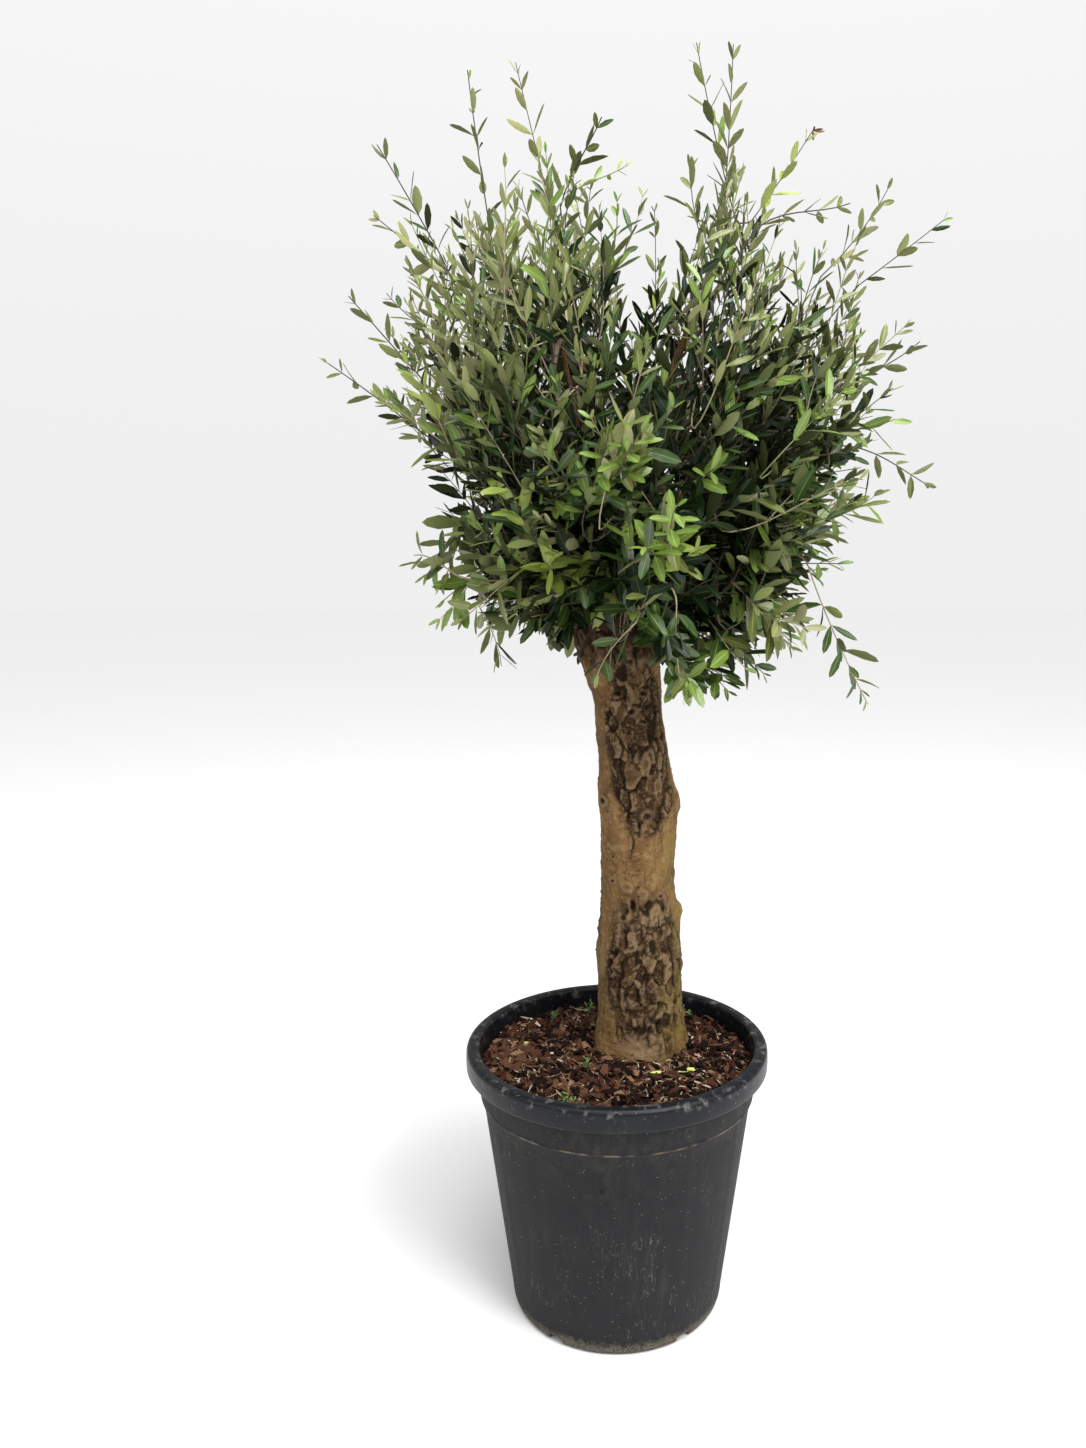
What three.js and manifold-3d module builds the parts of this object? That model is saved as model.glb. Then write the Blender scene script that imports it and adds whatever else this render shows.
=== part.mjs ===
// Standard olive tree in a nursery container: a pot of growing medium, one trunk with a swollen
// head, tapering boughs, and a crown of separate foliage masses with long shoots.
// Millimetres, +Z up. The origin is the centre of the container's flat underside.
import * as THREE from 'three';
import { mergeVertices } from 'three/addons/utils/BufferGeometryUtils.js';
import Module from 'manifold-3d';

const wasm = await Module();
wasm.setup();

// ---- Driving dimensions -------------------------------------------------------------------

const TOTAL_HEIGHT = 1800;
const GAP = 0.9; // radial clearance that leaves at least 0.3 mm between slanting neighbours

const POT_HEIGHT = 403;
const POT_SIDES = 26;
const POT_WALL = 4;
const BASE_RADIUS = 151;
const FOOT_RADIUS = 160;
const FOOT_ROUNDING = 20;
const RIM_RADIUS = 225;
const RIM_BAND = 32;
const RIM_LIP = 7;
const RIM_UNDERCUT = 3; // how far the band's lower edge is rounded in
const RIM_UNDERCUT_HEIGHT = 4;
const RIM_THICKENING = 3; // how much the rim's top reaches in over the neck
const NECK_RADIUS = 207;
const STEP_BAND = 44;
const STEP_DEPTH = 3;

const SOIL_EDGE_Z = 374;
const SOIL_TOP_Z = 388;
const SOIL_LAND_RADIUS = 112;
const SOIL_EASE = 2; // extra clearance at the floor and at the upper edge

// Trunk sections from the flat cut at soil level to the crest of the head.
const TRUNK_SECTIONS = [
  { z: 388.4, lean: 35, depth: 22, radius: 71 },
  { z: 440, lean: 35, depth: 21, radius: 65 },
  { z: 530, lean: 34, depth: 19, radius: 63 },
  { z: 648, lean: 31, depth: 16, radius: 54 },
  { z: 769, lean: 30, depth: 13, radius: 54 },
  { z: 830, lean: 24, depth: 11, radius: 51 },
  { z: 913, lean: 16, depth: 9, radius: 50 },
  { z: 988, lean: 3, depth: 6, radius: 57 },
  { z: 1045, lean: -2, depth: 5, radius: 62 },
  { z: 1090, lean: -2, depth: 5, radius: 46 },
];
const TRUNK_SIDES = 16;
const TRUNK_RINGS = 20;
const ROOT_LOBES = 5;
const ROOT_LOBE_DEPTH = 4;
const ROOT_FADE = 45;

// Burls and knots standing proud of the trunk: height, compass angle, proud height and spread.
const BURLS = [
  { z: 765, angle: 0, proud: 9, spread: 42 },
  { z: 772, angle: 182, proud: 6, spread: 26 },
  { z: 603, angle: 2, proud: 9, spread: 22 },
  { z: 615, angle: 275, proud: 6, spread: 45 },
  { z: 700, angle: 350, proud: 4, spread: 35 },
  { z: 1020, angle: 185, proud: 6, spread: 40 },
  { z: 905, angle: 95, proud: 7, spread: 40 },
  { z: 520, angle: 130, proud: 6, spread: 38 },
];

// Crown: tiers of masses stand round a leaning crown axis. Angles are anticlockwise from the right.
const CROWN_X = 30;
const CROWN_Y = 8;
const MASS_FACETS = 2;
const UNEVENNESS = 0.09;
const VARIATION = 0.12; // spread of reach and size from mass to mass, as a share
const HEIGHT_VARIATION = 40;
const TIERS = [
  { name: 'low', count: 5, z: 1110, reach: 184, first: 270, radii: [118, 108, 90] },
  { name: 'middle', count: 6, z: 1282, reach: 240, first: 270, radii: [142, 134, 122] },
  { name: 'upper', count: 6, z: 1456, reach: 210, first: 240, radii: [128, 122, 110] },
];
const TOP_MASSES = [
  { name: 'top_left', x: -76, y: 6, z: 1520, radii: [104, 116, 92] },
  { name: 'top_right', x: 154, y: 10, z: 1546, radii: [104, 116, 92] },
];
const SIDES = ['right', 'back_right', 'back', 'back_left', 'left', 'front_left', 'front', 'front_right'];

// Boughs rise from the head in three sets.
const BOUGH_SIDES = 6;
const BOUGH_RINGS = 5;
const UPRIGHT_BOUGHS = { start: 34, z: 1062, foot: 17, tip: 8, rise: 170, spread: 45 };
const SPREADING_BOUGHS = { start: 44, z: 1040, foot: 14, tip: 7, rise: 105, spread: 105 };
const TOP_BOUGHS = { start: 9, z: 1068, foot: 16, tip: 8, rise: 220, spread: 10 };

// Long leafy shoots: the mass each grows from, its furthest tip, and how far it bows.
const SHOOT_SIDES = 5;
const SHOOT_RINGS = 5;
const SHOOT_RADIUS = 29;
const SHOOT_TIP_RADIUS = 1.5;
const SHOOT_BEND_AT = 0.55; // how far along the shoot its bend lies
const SHOOT_SWELL_AT = 1.25; // above 1 the fullest place moves towards the tip
const SHOOT_FULLNESS = 0.7; // below 1 the shoot stays full over more of its length
const SHOOTS = [
  { name: 'tall_left', from: 'upper_left', tip: [-208, 60, 1786], bow: [0, 0, 30] },
  { name: 'tall_centre_left', from: 'top_left', tip: [-129, -60, 1745], bow: [-10, 0, 20] },
  { name: 'inner_left', from: 'top_left', tip: [-18, -90, 1667], bow: [-20, 0, 10] },
  { name: 'high_left', from: 'upper_left', tip: [-311, -50, 1650], bow: [-15, 0, -10] },
  { name: 'back_left', from: 'upper_left', tip: [-352, 110, 1612], bow: [-10, 0, -15] },
  { name: 'side_left', from: 'middle_front_left', tip: [-345, -90, 1452], bow: [-25, 0, -5] },
  { name: 'far_left', from: 'middle_front_left', tip: [-391, -30, 1380], bow: [-15, 0, -10] },
  { name: 'hanging_left', from: 'low_left', tip: [-158, -60, 970], bow: [-20, 0, 5] },
  { name: 'low_left', from: 'low_left', tip: [-276, -60, 1120], bow: [0, 0, 15] },
  { name: 'tall_right', from: 'top_right', tip: [105, 12, TOTAL_HEIGHT], bow: [0, 0, 10] },
  { name: 'tall_front_right', from: 'top_right', tip: [148, -70, 1762], bow: [0, -20, 10] },
  { name: 'withered_tip', from: 'top_right', tip: [268, 40, 1701], bow: [15, 0, -10] },
  { name: 'high_right', from: 'upper_front_right', tip: [290, -120, 1556], bow: [10, 0, -5] },
  { name: 'upright_right', from: 'upper_right', tip: [384, 70, 1640], bow: [20, 0, -20] },
  { name: 'far_right', from: 'upper_right', tip: [436, -20, 1566], bow: [15, 0, -20] },
  { name: 'side_right', from: 'middle_front_right', tip: [400, -60, 1402], bow: [15, 0, -10] },
  { name: 'low_right', from: 'middle_front_right', tip: [432, -40, 1211], bow: [0, 0, 20] },
  { name: 'drooping_right', from: 'low_right', tip: [330, -130, 925], bow: [15, -10, 40] },
  { name: 'hanging_right', from: 'low_front', tip: [84, -165, 942], bow: [10, -20, 10] },
  { name: 'trunk_front', from: 'low_front', tip: [-26, -165, 966], bow: [-10, -20, 10] },
  { name: 'rising_front', from: 'upper_front_left', tip: [16, -150, 1590], bow: [-20, -20, 10] },
  { name: 'rising_back', from: 'upper_back_left', tip: [-40, 230, 1700], bow: [0, 20, 0] },
  { name: 'far_back', from: 'middle_back', tip: [60, 395, 1400], bow: [0, 20, -10] },
  { name: 'hanging_back', from: 'low_back_right', tip: [150, 230, 975], bow: [5, 15, 15] },
];

// ---- Materials ----------------------------------------------------------------------------

const finish = (color, roughness) => new THREE.MeshStandardMaterial({ color, roughness, metalness: 0 });
const potPlastic = () => finish('#33363a', 0.6);
const barkChips = () => finish('#3a2018', 1);
const trunkBark = () => finish('#7d6246', 0.9);
const boughBark = () => finish('#5d5142', 0.9);
const foliage = (lightness) => finish(new THREE.Color().setHSL(0.245, 0.36, lightness), 0.7);

// ---- Working tools ------------------------------------------------------------------------

function seededRandom(seed) {
  let state = seed >>> 0;
  return () => {
    state = (state + 0x6d2b79f5) >>> 0;
    let t = state;
    t = Math.imul(t ^ (t >>> 15), t | 1);
    t ^= t + Math.imul(t ^ (t >>> 7), t | 61);
    return ((t ^ (t >>> 14)) >>> 0) / 4294967296;
  };
}

function closedSurface(geometry) {
  geometry.deleteAttribute('normal');
  geometry.deleteAttribute('uv');
  return mergeVertices(geometry, 1e-4);
}

function toSolid(geometry) {
  return new wasm.Manifold(new wasm.Mesh({
    numProp: 3,
    vertProperties: new Float32Array(geometry.attributes.position.array),
    triVerts: new Uint32Array(geometry.index.array),
  }));
}

function toGeometry(solid) {
  const mesh = solid.getMesh();
  const geometry = new THREE.BufferGeometry();
  geometry.setAttribute('position', new THREE.BufferAttribute(mesh.vertProperties, 3));
  geometry.setIndex(new THREE.BufferAttribute(mesh.triVerts, 1));
  return geometry;
}

// The largest body that a cut leaves; slivers are dropped.
function mainBody(solid) {
  return solid.decompose().reduce((best, body) => (body.volume() > best.volume() ? body : best));
}

function cutBy(solid, tools) {
  return mainBody(tools.reduce((left, tool) => left.subtract(tool), solid));
}

// Smooth interpolation of one named value through rows that are sorted by their z.
function through(rows, key, z) {
  const last = rows.length - 1;
  const high = Math.min(Math.max(rows.findIndex((row) => row.z >= z), 1), last);
  const a = rows[high - 1];
  const b = rows[high];
  const t = THREE.MathUtils.clamp((z - a.z) / (b.z - a.z), 0, 1);
  return THREE.MathUtils.lerp(a[key], b[key], THREE.MathUtils.smoothstep(t, 0, 1));
}

// A limb follows a curve; radiusAt gives its radius at t, 0 at the foot and 1 at the tip.
function limb(curve, radiusAt, sides, rings) {
  const geometry = closedSurface(new THREE.CylinderGeometry(1, 1, 1, sides, rings));
  const frames = curve.computeFrenetFrames(rings);
  const place = geometry.attributes.position;
  const point = new THREE.Vector3();
  for (let i = 0; i < place.count; i += 1) {
    const t = place.getY(i) + 0.5;
    const ring = Math.round(t * rings);
    const radius = radiusAt(t);
    point.copy(curve.getPoint(t));
    point.addScaledVector(frames.binormals[ring], place.getX(i) * radius);
    point.addScaledVector(frames.normals[ring], place.getZ(i) * radius);
    place.setXYZ(i, point.x, point.y, point.z);
  }
  return geometry;
}

// ---- Container and growing medium ---------------------------------------------------------

// Outer wall radius at a height: a straight taper from the foot to the neck.
function wallRadius(z) {
  const t = (z - FOOT_ROUNDING) / (POT_HEIGHT - RIM_BAND - FOOT_ROUNDING);
  return THREE.MathUtils.lerp(FOOT_RADIUS, NECK_RADIUS, t);
}

// A closed profile of [radius, height] pairs turned round the vertical axis.
function turned(profile) {
  const points = profile.map(([radius, z]) => new THREE.Vector2(radius, z));
  return closedSurface(new THREE.LatheGeometry(points, POT_SIDES).rotateX(Math.PI / 2));
}

function makePot() {
  const bandTop = POT_HEIGHT - RIM_BAND;
  const stepFoot = bandTop - STEP_BAND;
  const footArc = Math.PI / 4;
  return turned([
    [0, 0],
    [BASE_RADIUS, 0],
    [
      BASE_RADIUS + (FOOT_RADIUS - BASE_RADIUS) * Math.sin(footArc),
      FOOT_ROUNDING * (1 - Math.cos(footArc)),
    ],
    [FOOT_RADIUS, FOOT_ROUNDING],
    [wallRadius(stepFoot), stepFoot],
    [wallRadius(stepFoot) + STEP_DEPTH, stepFoot + STEP_DEPTH],
    [wallRadius(bandTop) + STEP_DEPTH / 2, bandTop],
    [RIM_RADIUS - RIM_UNDERCUT, bandTop],
    [RIM_RADIUS, bandTop + RIM_UNDERCUT_HEIGHT],
    [RIM_RADIUS, POT_HEIGHT - RIM_LIP],
    [RIM_RADIUS - RIM_LIP, POT_HEIGHT],
    [NECK_RADIUS + RIM_THICKENING, POT_HEIGHT],
    [NECK_RADIUS - POT_WALL, POT_HEIGHT - RIM_LIP],
    [FOOT_RADIUS - POT_WALL, FOOT_ROUNDING],
    [BASE_RADIUS - POT_WALL, POT_WALL],
    [0, POT_WALL],
  ]);
}

function makeSoil() {
  const floor = POT_WALL + GAP;
  const clear = POT_WALL + 2 * GAP;
  return turned([
    [0, floor],
    [BASE_RADIUS - clear - SOIL_EASE, floor],
    [FOOT_RADIUS - clear, FOOT_ROUNDING],
    [wallRadius(SOIL_EDGE_Z) - clear - SOIL_EASE, SOIL_EDGE_Z],
    [SOIL_LAND_RADIUS, SOIL_TOP_Z],
    [0, SOIL_TOP_Z],
  ]);
}

// ---- Trunk --------------------------------------------------------------------------------

function burlHeight(z, angle, radius) {
  return BURLS.reduce((sum, burl) => {
    const turn = THREE.MathUtils.euclideanModulo(angle - burl.angle + 180, 360) - 180;
    const across = THREE.MathUtils.degToRad(turn) * radius;
    const apart = Math.hypot(across, z - burl.z) / burl.spread;
    return sum + burl.proud * Math.exp(-2 * apart * apart);
  }, 0);
}

function makeTrunk(grow = 0) {
  const foot = TRUNK_SECTIONS[0].z;
  const crest = TRUNK_SECTIONS[TRUNK_SECTIONS.length - 1].z;
  const geometry = closedSurface(new THREE.CylinderGeometry(1, 1, 1, TRUNK_SIDES, TRUNK_RINGS));
  geometry.rotateX(Math.PI / 2);
  const place = geometry.attributes.position;
  for (let i = 0; i < place.count; i += 1) {
    const level = place.getZ(i) + 0.5;
    const z = foot + level * (crest - foot);
    const angle = Math.atan2(place.getY(i), place.getX(i));
    const plain = through(TRUNK_SECTIONS, 'radius', z);
    const roots = ROOT_LOBE_DEPTH * Math.cos(ROOT_LOBES * angle) * Math.exp((foot - z) / ROOT_FADE);
    const radius = plain + roots + burlHeight(z, THREE.MathUtils.radToDeg(angle), plain) + grow;
    const scale = Math.hypot(place.getX(i), place.getY(i)) * radius;
    place.setXYZ(
      i,
      through(TRUNK_SECTIONS, 'lean', z) + Math.cos(angle) * scale,
      through(TRUNK_SECTIONS, 'depth', z) + Math.sin(angle) * scale,
      z + (level > 0.99 ? grow : 0),
    );
  }
  return geometry;
}

// ---- Crown --------------------------------------------------------------------------------

// Which side of the crown an angle lies on, in plain words.
function sideAt(degrees) {
  return SIDES[Math.round((degrees % 360) / (360 / SIDES.length)) % SIDES.length];
}

// Masses are listed tier by tier, anticlockwise seen from above.
function listMasses() {
  const random = seededRandom(41);
  const vary = (amount) => 1 + (random() - 0.5) * amount;
  const masses = [];
  for (const tier of TIERS) {
    for (let i = 0; i < tier.count; i += 1) {
      const degrees = tier.first + (i * 360) / tier.count;
      const angle = THREE.MathUtils.degToRad(degrees);
      const reach = tier.reach * vary(VARIATION);
      masses.push({
        name: `${tier.name}_${sideAt(degrees)}`,
        tier: tier.name,
        angle,
        centre: new THREE.Vector3(
          CROWN_X + reach * Math.cos(angle),
          CROWN_Y + reach * Math.sin(angle),
          tier.z + (random() - 0.5) * HEIGHT_VARIATION,
        ),
        radii: tier.radii.map((radius) => radius * vary(VARIATION)),
      });
    }
  }
  for (const { name, x, y, z, radii } of TOP_MASSES) {
    masses.push({
      name,
      tier: 'top',
      angle: x < CROWN_X ? Math.PI : 0,
      centre: new THREE.Vector3(x, y, z),
      radii,
    });
  }
  return masses;
}

// Distance from a mass's centre to its own uneven surface along a direction.
function makeUneven(mass, seed) {
  const random = seededRandom(seed);
  const waves = Array.from({ length: 5 }, () => ({
    along: new THREE.Vector3(random() - 0.5, random() - 0.5, random() - 0.5).normalize(),
    rate: 3 + 4 * random(),
    start: 2 * Math.PI * random(),
  }));
  const [wide, deep, tall] = mass.radii;
  return (direction) => {
    const u = direction.clone().applyAxisAngle(new THREE.Vector3(0, 0, 1), -mass.angle);
    const smooth = 1 / Math.hypot(u.x / deep, u.y / wide, u.z / tall);
    const lumps = waves.reduce((sum, w) => sum + Math.sin(w.rate * direction.dot(w.along) + w.start), 0);
    return smooth * (1 + UNEVENNESS * lumps);
  };
}

// A mass ends halfway, by size, to each mass beside it.
function boundaryPlanes(mass, masses) {
  const size = (m) => (m.radii[0] + m.radii[1] + m.radii[2]) / 3;
  return masses.filter((other) => other !== mass).map((other) => {
    const towards = other.centre.clone().sub(mass.centre);
    const span = towards.length();
    const share = size(mass) / (size(mass) + size(other));
    return { normal: towards.divideScalar(span), distance: span * share - GAP };
  });
}

function makeMass(mass, masses, seed, grow = 0) {
  const geometry = closedSurface(new THREE.IcosahedronGeometry(1, MASS_FACETS));
  const surface = makeUneven(mass, seed);
  const planes = boundaryPlanes(mass, masses);
  const place = geometry.attributes.position;
  const direction = new THREE.Vector3();
  for (let i = 0; i < place.count; i += 1) {
    direction.fromBufferAttribute(place, i).normalize();
    const reach = planes.reduce((least, plane) => {
      const facing = plane.normal.dot(direction);
      return facing > 0 ? Math.min(least, plane.distance / facing) : least;
    }, surface(direction));
    direction.multiplyScalar(reach + grow).add(mass.centre);
    place.setXYZ(i, direction.x, direction.y, direction.z);
  }
  return geometry;
}

// A bough springs from the head, sweeps out and up, and aims at the heart of its mass.
function boughCurve(mass, set) {
  const out = new THREE.Vector3(Math.cos(mass.angle), Math.sin(mass.angle), 0);
  const head = new THREE.Vector3(
    through(TRUNK_SECTIONS, 'lean', set.z),
    through(TRUNK_SECTIONS, 'depth', set.z),
    set.z,
  );
  const foot = head.clone().addScaledVector(out, set.start);
  const elbow = foot.clone().addScaledVector(out, set.spread);
  elbow.z += set.rise;
  return new THREE.QuadraticBezierCurve3(foot, elbow, mass.centre.clone());
}

function makeBough(mass, set, grow = 0) {
  const radiusAt = (t) => THREE.MathUtils.lerp(set.foot, set.tip, t) + grow;
  return limb(boughCurve(mass, set), radiusAt, BOUGH_SIDES, BOUGH_RINGS);
}

// A shoot swells from its mass and thins to the tip of its last leaf.
function makeShoot(shoot, mass, grow = 0) {
  const tip = new THREE.Vector3(...shoot.tip);
  const bend = mass.centre.clone().lerp(tip, SHOOT_BEND_AT).add(new THREE.Vector3(...shoot.bow));
  const curve = new THREE.QuadraticBezierCurve3(mass.centre.clone(), bend, tip);
  const swell = (t) => Math.sin(Math.PI * Math.pow(t, SHOOT_SWELL_AT)) ** SHOOT_FULLNESS;
  const radiusAt = (t) => SHOOT_TIP_RADIUS + SHOOT_RADIUS * swell(t) + grow;
  return limb(curve, radiusAt, SHOOT_SIDES, SHOOT_RINGS);
}

// ---- Assembly -----------------------------------------------------------------------------

const tree = new THREE.Group();
tree.name = 'potted_olive_tree';

function addPart(name, geometry, material) {
  const part = new THREE.Mesh(geometry, material);
  part.name = name;
  tree.add(part);
}

addPart('pot', makePot(), potPlastic());
addPart('growing_medium', makeSoil(), barkChips());
addPart('trunk', makeTrunk(), trunkBark());

const masses = listMasses();
const trunkTool = toSolid(makeTrunk(GAP));
const boughSets = { top: TOP_BOUGHS, upper: UPRIGHT_BOUGHS, middle: SPREADING_BOUGHS };
masses.forEach((mass, i) => {
  mass.seed = 100 + i;
  mass.tool = toSolid(makeMass(mass, masses, mass.seed, GAP));
});

const boughTools = [];
for (const mass of masses.filter((m) => m.tier in boughSets)) {
  const set = boughSets[mass.tier];
  const solid = cutBy(toSolid(makeBough(mass, set)), [trunkTool, mass.tool, ...boughTools]);
  boughTools.push(toSolid(makeBough(mass, set, GAP)));
  addPart(`bough_${mass.name}`, toGeometry(solid), boughBark());
}

masses.forEach((mass, i) => {
  const solid = toSolid(makeMass(mass, masses, mass.seed));
  const shade = 0.2 + 0.05 * (i % 4);
  addPart(`foliage_${mass.name}`, toGeometry(cutBy(solid, [trunkTool, ...boughTools])), foliage(shade));
});

const massTools = masses.map((mass) => mass.tool);
const shootTools = [];
SHOOTS.forEach((shoot, i) => {
  const mass = masses.find((m) => m.name === shoot.from);
  const solid = cutBy(toSolid(makeShoot(shoot, mass)), [trunkTool, ...massTools, ...shootTools]);
  shootTools.push(toSolid(makeShoot(shoot, mass, GAP)));
  addPart(`shoot_${shoot.name}`, toGeometry(solid), foliage(0.3 + 0.04 * (i % 3)));
});

export default tree;
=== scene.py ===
import math
import random

import bmesh
import bpy
import numpy as np
from mathutils import Matrix, Vector, noise
from mathutils.bvhtree import BVHTree


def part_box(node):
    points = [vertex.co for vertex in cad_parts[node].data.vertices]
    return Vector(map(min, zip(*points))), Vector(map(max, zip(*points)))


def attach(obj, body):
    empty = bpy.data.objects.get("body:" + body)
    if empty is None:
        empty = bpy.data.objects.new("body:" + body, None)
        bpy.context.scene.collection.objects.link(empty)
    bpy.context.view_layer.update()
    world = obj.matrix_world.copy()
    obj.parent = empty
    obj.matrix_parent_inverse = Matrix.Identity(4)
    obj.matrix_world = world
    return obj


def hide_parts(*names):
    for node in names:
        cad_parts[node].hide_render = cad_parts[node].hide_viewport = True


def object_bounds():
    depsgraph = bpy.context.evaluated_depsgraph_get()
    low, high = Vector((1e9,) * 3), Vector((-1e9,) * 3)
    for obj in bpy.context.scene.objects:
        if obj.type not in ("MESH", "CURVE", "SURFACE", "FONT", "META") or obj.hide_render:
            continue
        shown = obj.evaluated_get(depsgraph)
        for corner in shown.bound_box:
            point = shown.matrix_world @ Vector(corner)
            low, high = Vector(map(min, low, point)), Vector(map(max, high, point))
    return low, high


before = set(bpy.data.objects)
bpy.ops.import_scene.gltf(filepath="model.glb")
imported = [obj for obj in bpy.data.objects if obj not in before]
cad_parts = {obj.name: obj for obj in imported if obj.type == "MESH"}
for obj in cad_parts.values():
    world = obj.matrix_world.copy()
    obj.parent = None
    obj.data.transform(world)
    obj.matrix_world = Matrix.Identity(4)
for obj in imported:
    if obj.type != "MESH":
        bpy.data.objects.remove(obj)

cad_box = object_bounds()

# ---- Nursery container ---------------------------------------------------------------------
# A round tub moulded in charcoal plastic, with a thick rolled rim, a step band under it and
# faint upright ribs. Five drain notches are cut in the foot, and handling has left it dusty.

POT_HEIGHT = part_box("pot")[1].z
RIM_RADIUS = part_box("pot")[1].y
RIM_BAND = 0.032
NECK_RADIUS = 0.207
FOOT_RADIUS = 0.160
BASE_RADIUS = 0.151
FOOT_HEIGHT = 0.020
STEP_BAND = 0.044
WALL = 0.004
POT_STEPS = 240
RIB_COUNT = 12
RIB_PROUD = 0.0009
NOTCH_COUNT = 5
NOTCH_FIRST = math.radians(-125)
NOTCH_HALF_WIDTH = 0.010
NOTCH_HEIGHT = 0.009
NOTCH_DEPTH = 0.007


def smooth_mesh(bm, name, sharp_degrees=40):
    """Turns a bmesh into a smooth-shaded object whose steep edges stay sharp."""
    mesh = bpy.data.meshes.new(name)
    bm.to_mesh(mesh)
    bm.free()
    mesh.shade_smooth()
    mesh.set_sharp_from_angle(angle=math.radians(sharp_degrees))
    piece = bpy.data.objects.new(name, mesh)
    bpy.context.scene.collection.objects.link(piece)
    return piece


def turned_body(profile, steps):
    """A closed body turned round the vertical axis from [radius, height] pairs."""
    bm = bmesh.new()
    verts = [bm.verts.new((radius, 0, z)) for radius, z in profile]
    edges = [bm.edges.new(pair) for pair in zip(verts, verts[1:])]
    bmesh.ops.spin(bm, geom=verts + edges, cent=(0, 0, 0), axis=(0, 0, 1), dvec=(0, 0, 0),
                   angle=2 * math.pi, steps=steps, use_merge=True)
    bmesh.ops.remove_doubles(bm, verts=bm.verts, dist=1e-5)
    bmesh.ops.recalc_face_normals(bm, faces=bm.faces)
    return bm


def round_corner(centre, size, start, end, count):
    """Points on a quarter ellipse of a profile, from one angle in degrees to another."""
    turns = [math.radians(start + (end - start) * i / count) for i in range(count + 1)]
    return [(centre[0] + size[0] * math.cos(a), centre[1] + size[1] * math.sin(a)) for a in turns]


def wall_radius(z):
    share = (z - FOOT_HEIGHT) / (POT_HEIGHT - RIM_BAND - FOOT_HEIGHT)
    return FOOT_RADIUS + (NECK_RADIUS - FOOT_RADIUS) * share


band_top = POT_HEIGHT - RIM_BAND
step_foot = band_top - STEP_BAND
foot_size = (FOOT_RADIUS - BASE_RADIUS, FOOT_HEIGHT)
profile = [(0, 0.006), (BASE_RADIUS - 0.030, 0.006), (BASE_RADIUS - 0.024, 0)]
profile += round_corner((BASE_RADIUS, FOOT_HEIGHT), foot_size, -90, 0, 8)
profile += [(wall_radius(z), z) for z in np.linspace(FOOT_HEIGHT, step_foot - 0.003, 16)[1:]]
profile += [(wall_radius(step_foot) + proud, step_foot + rise)
            for rise, proud in ((-0.0012, 0.0008), (0.0006, 0.0030), (0.0024, 0.0036), (0.0042, 0.0029))]
profile += [(wall_radius(z) + 0.0024, z) for z in np.linspace(step_foot + 0.006, band_top - 0.002, 5)]
profile += [(NECK_RADIUS + 0.004, band_top), (RIM_RADIUS - 0.006, band_top)]
profile += round_corner((RIM_RADIUS - 0.003, band_top + 0.003), (0.003, 0.003), -90, 0, 4)
profile += [(RIM_RADIUS + 0.0004, band_top + 0.012)]
profile += round_corner((RIM_RADIUS - 0.008, POT_HEIGHT - 0.008), (0.008, 0.008), 0, 90, 7)
profile += round_corner((NECK_RADIUS + 0.004, POT_HEIGHT - 0.006), (0.006, 0.006), 90, 180, 5)
profile += [(NECK_RADIUS - WALL, POT_HEIGHT - 0.020), (NECK_RADIUS - WALL - 0.001, band_top)]
profile += [(wall_radius(z) - WALL, z) for z in np.linspace(band_top - 0.01, FOOT_HEIGHT, 6)]
profile += [(BASE_RADIUS - WALL, WALL + 0.004), (0, WALL + 0.004)]

bm = turned_body(profile, POT_STEPS)
for vert in bm.verts:
    radius = math.hypot(vert.co.x, vert.co.y)
    angle = math.atan2(vert.co.y, vert.co.x)
    outside = radius > wall_radius(vert.co.z) - 0.001
    if outside and FOOT_HEIGHT < vert.co.z < step_foot - 0.004:
        wave = math.cos(RIB_COUNT * angle)
        push = RIB_PROUD * (max(0.0, wave) ** 12 - 0.35 * max(0.0, -wave) ** 3)
        vert.co.xy *= 1 + push / radius
    notch = (angle - NOTCH_FIRST + math.pi / NOTCH_COUNT) % (2 * math.pi / NOTCH_COUNT)
    across = abs(notch - math.pi / NOTCH_COUNT) * radius
    if radius > BASE_RADIUS - 0.028 and vert.co.z < NOTCH_HEIGHT and across < NOTCH_HALF_WIDTH:
        vert.co.z = max(vert.co.z, NOTCH_HEIGHT - 0.002 + 0.15 * (radius - BASE_RADIUS))
        vert.co.xy *= 1 - NOTCH_DEPTH / radius
container = smooth_mesh(bm, "container")


def shader(name):
    """A new node material: its tree and its Principled shader."""
    material = bpy.data.materials.new(name)
    material.use_nodes = True
    return material, material.node_tree, material.node_tree.nodes["Principled BSDF"]


def node(tree, kind, inputs=(), **settings):
    """Adds a shader node; an input is a value, or the output socket that feeds it."""
    made = tree.nodes.new(kind)
    for key, value in settings.items():
        setattr(made, key, value)
    for key, value in dict(inputs).items():
        if isinstance(value, bpy.types.NodeSocket):
            tree.links.new(value, made.inputs[key])
        else:
            made.inputs[key].default_value = value
    return made


def place(tree, scale=(1, 1, 1)):
    """Object coordinates, stretched along the axes."""
    coords = node(tree, "ShaderNodeTexCoord").outputs["Object"]
    return node(tree, "ShaderNodeMapping", {"Vector": coords, "Scale": scale}).outputs["Vector"]


def cloud(tree, vector, scale, detail=4.0, rough=0.55):
    return node(tree, "ShaderNodeTexNoise", {
        "Vector": vector, "Scale": scale, "Detail": detail, "Roughness": rough,
    }).outputs["Fac"]


def span(tree, value, low, high, to_low=0.0, to_high=1.0):
    """Maps a value smoothly from one span to another."""
    return node(tree, "ShaderNodeMapRange", {
        "Value": value, "From Min": low, "From Max": high, "To Min": to_low, "To Max": to_high,
    }, interpolation_type="SMOOTHSTEP").outputs["Result"]


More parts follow.
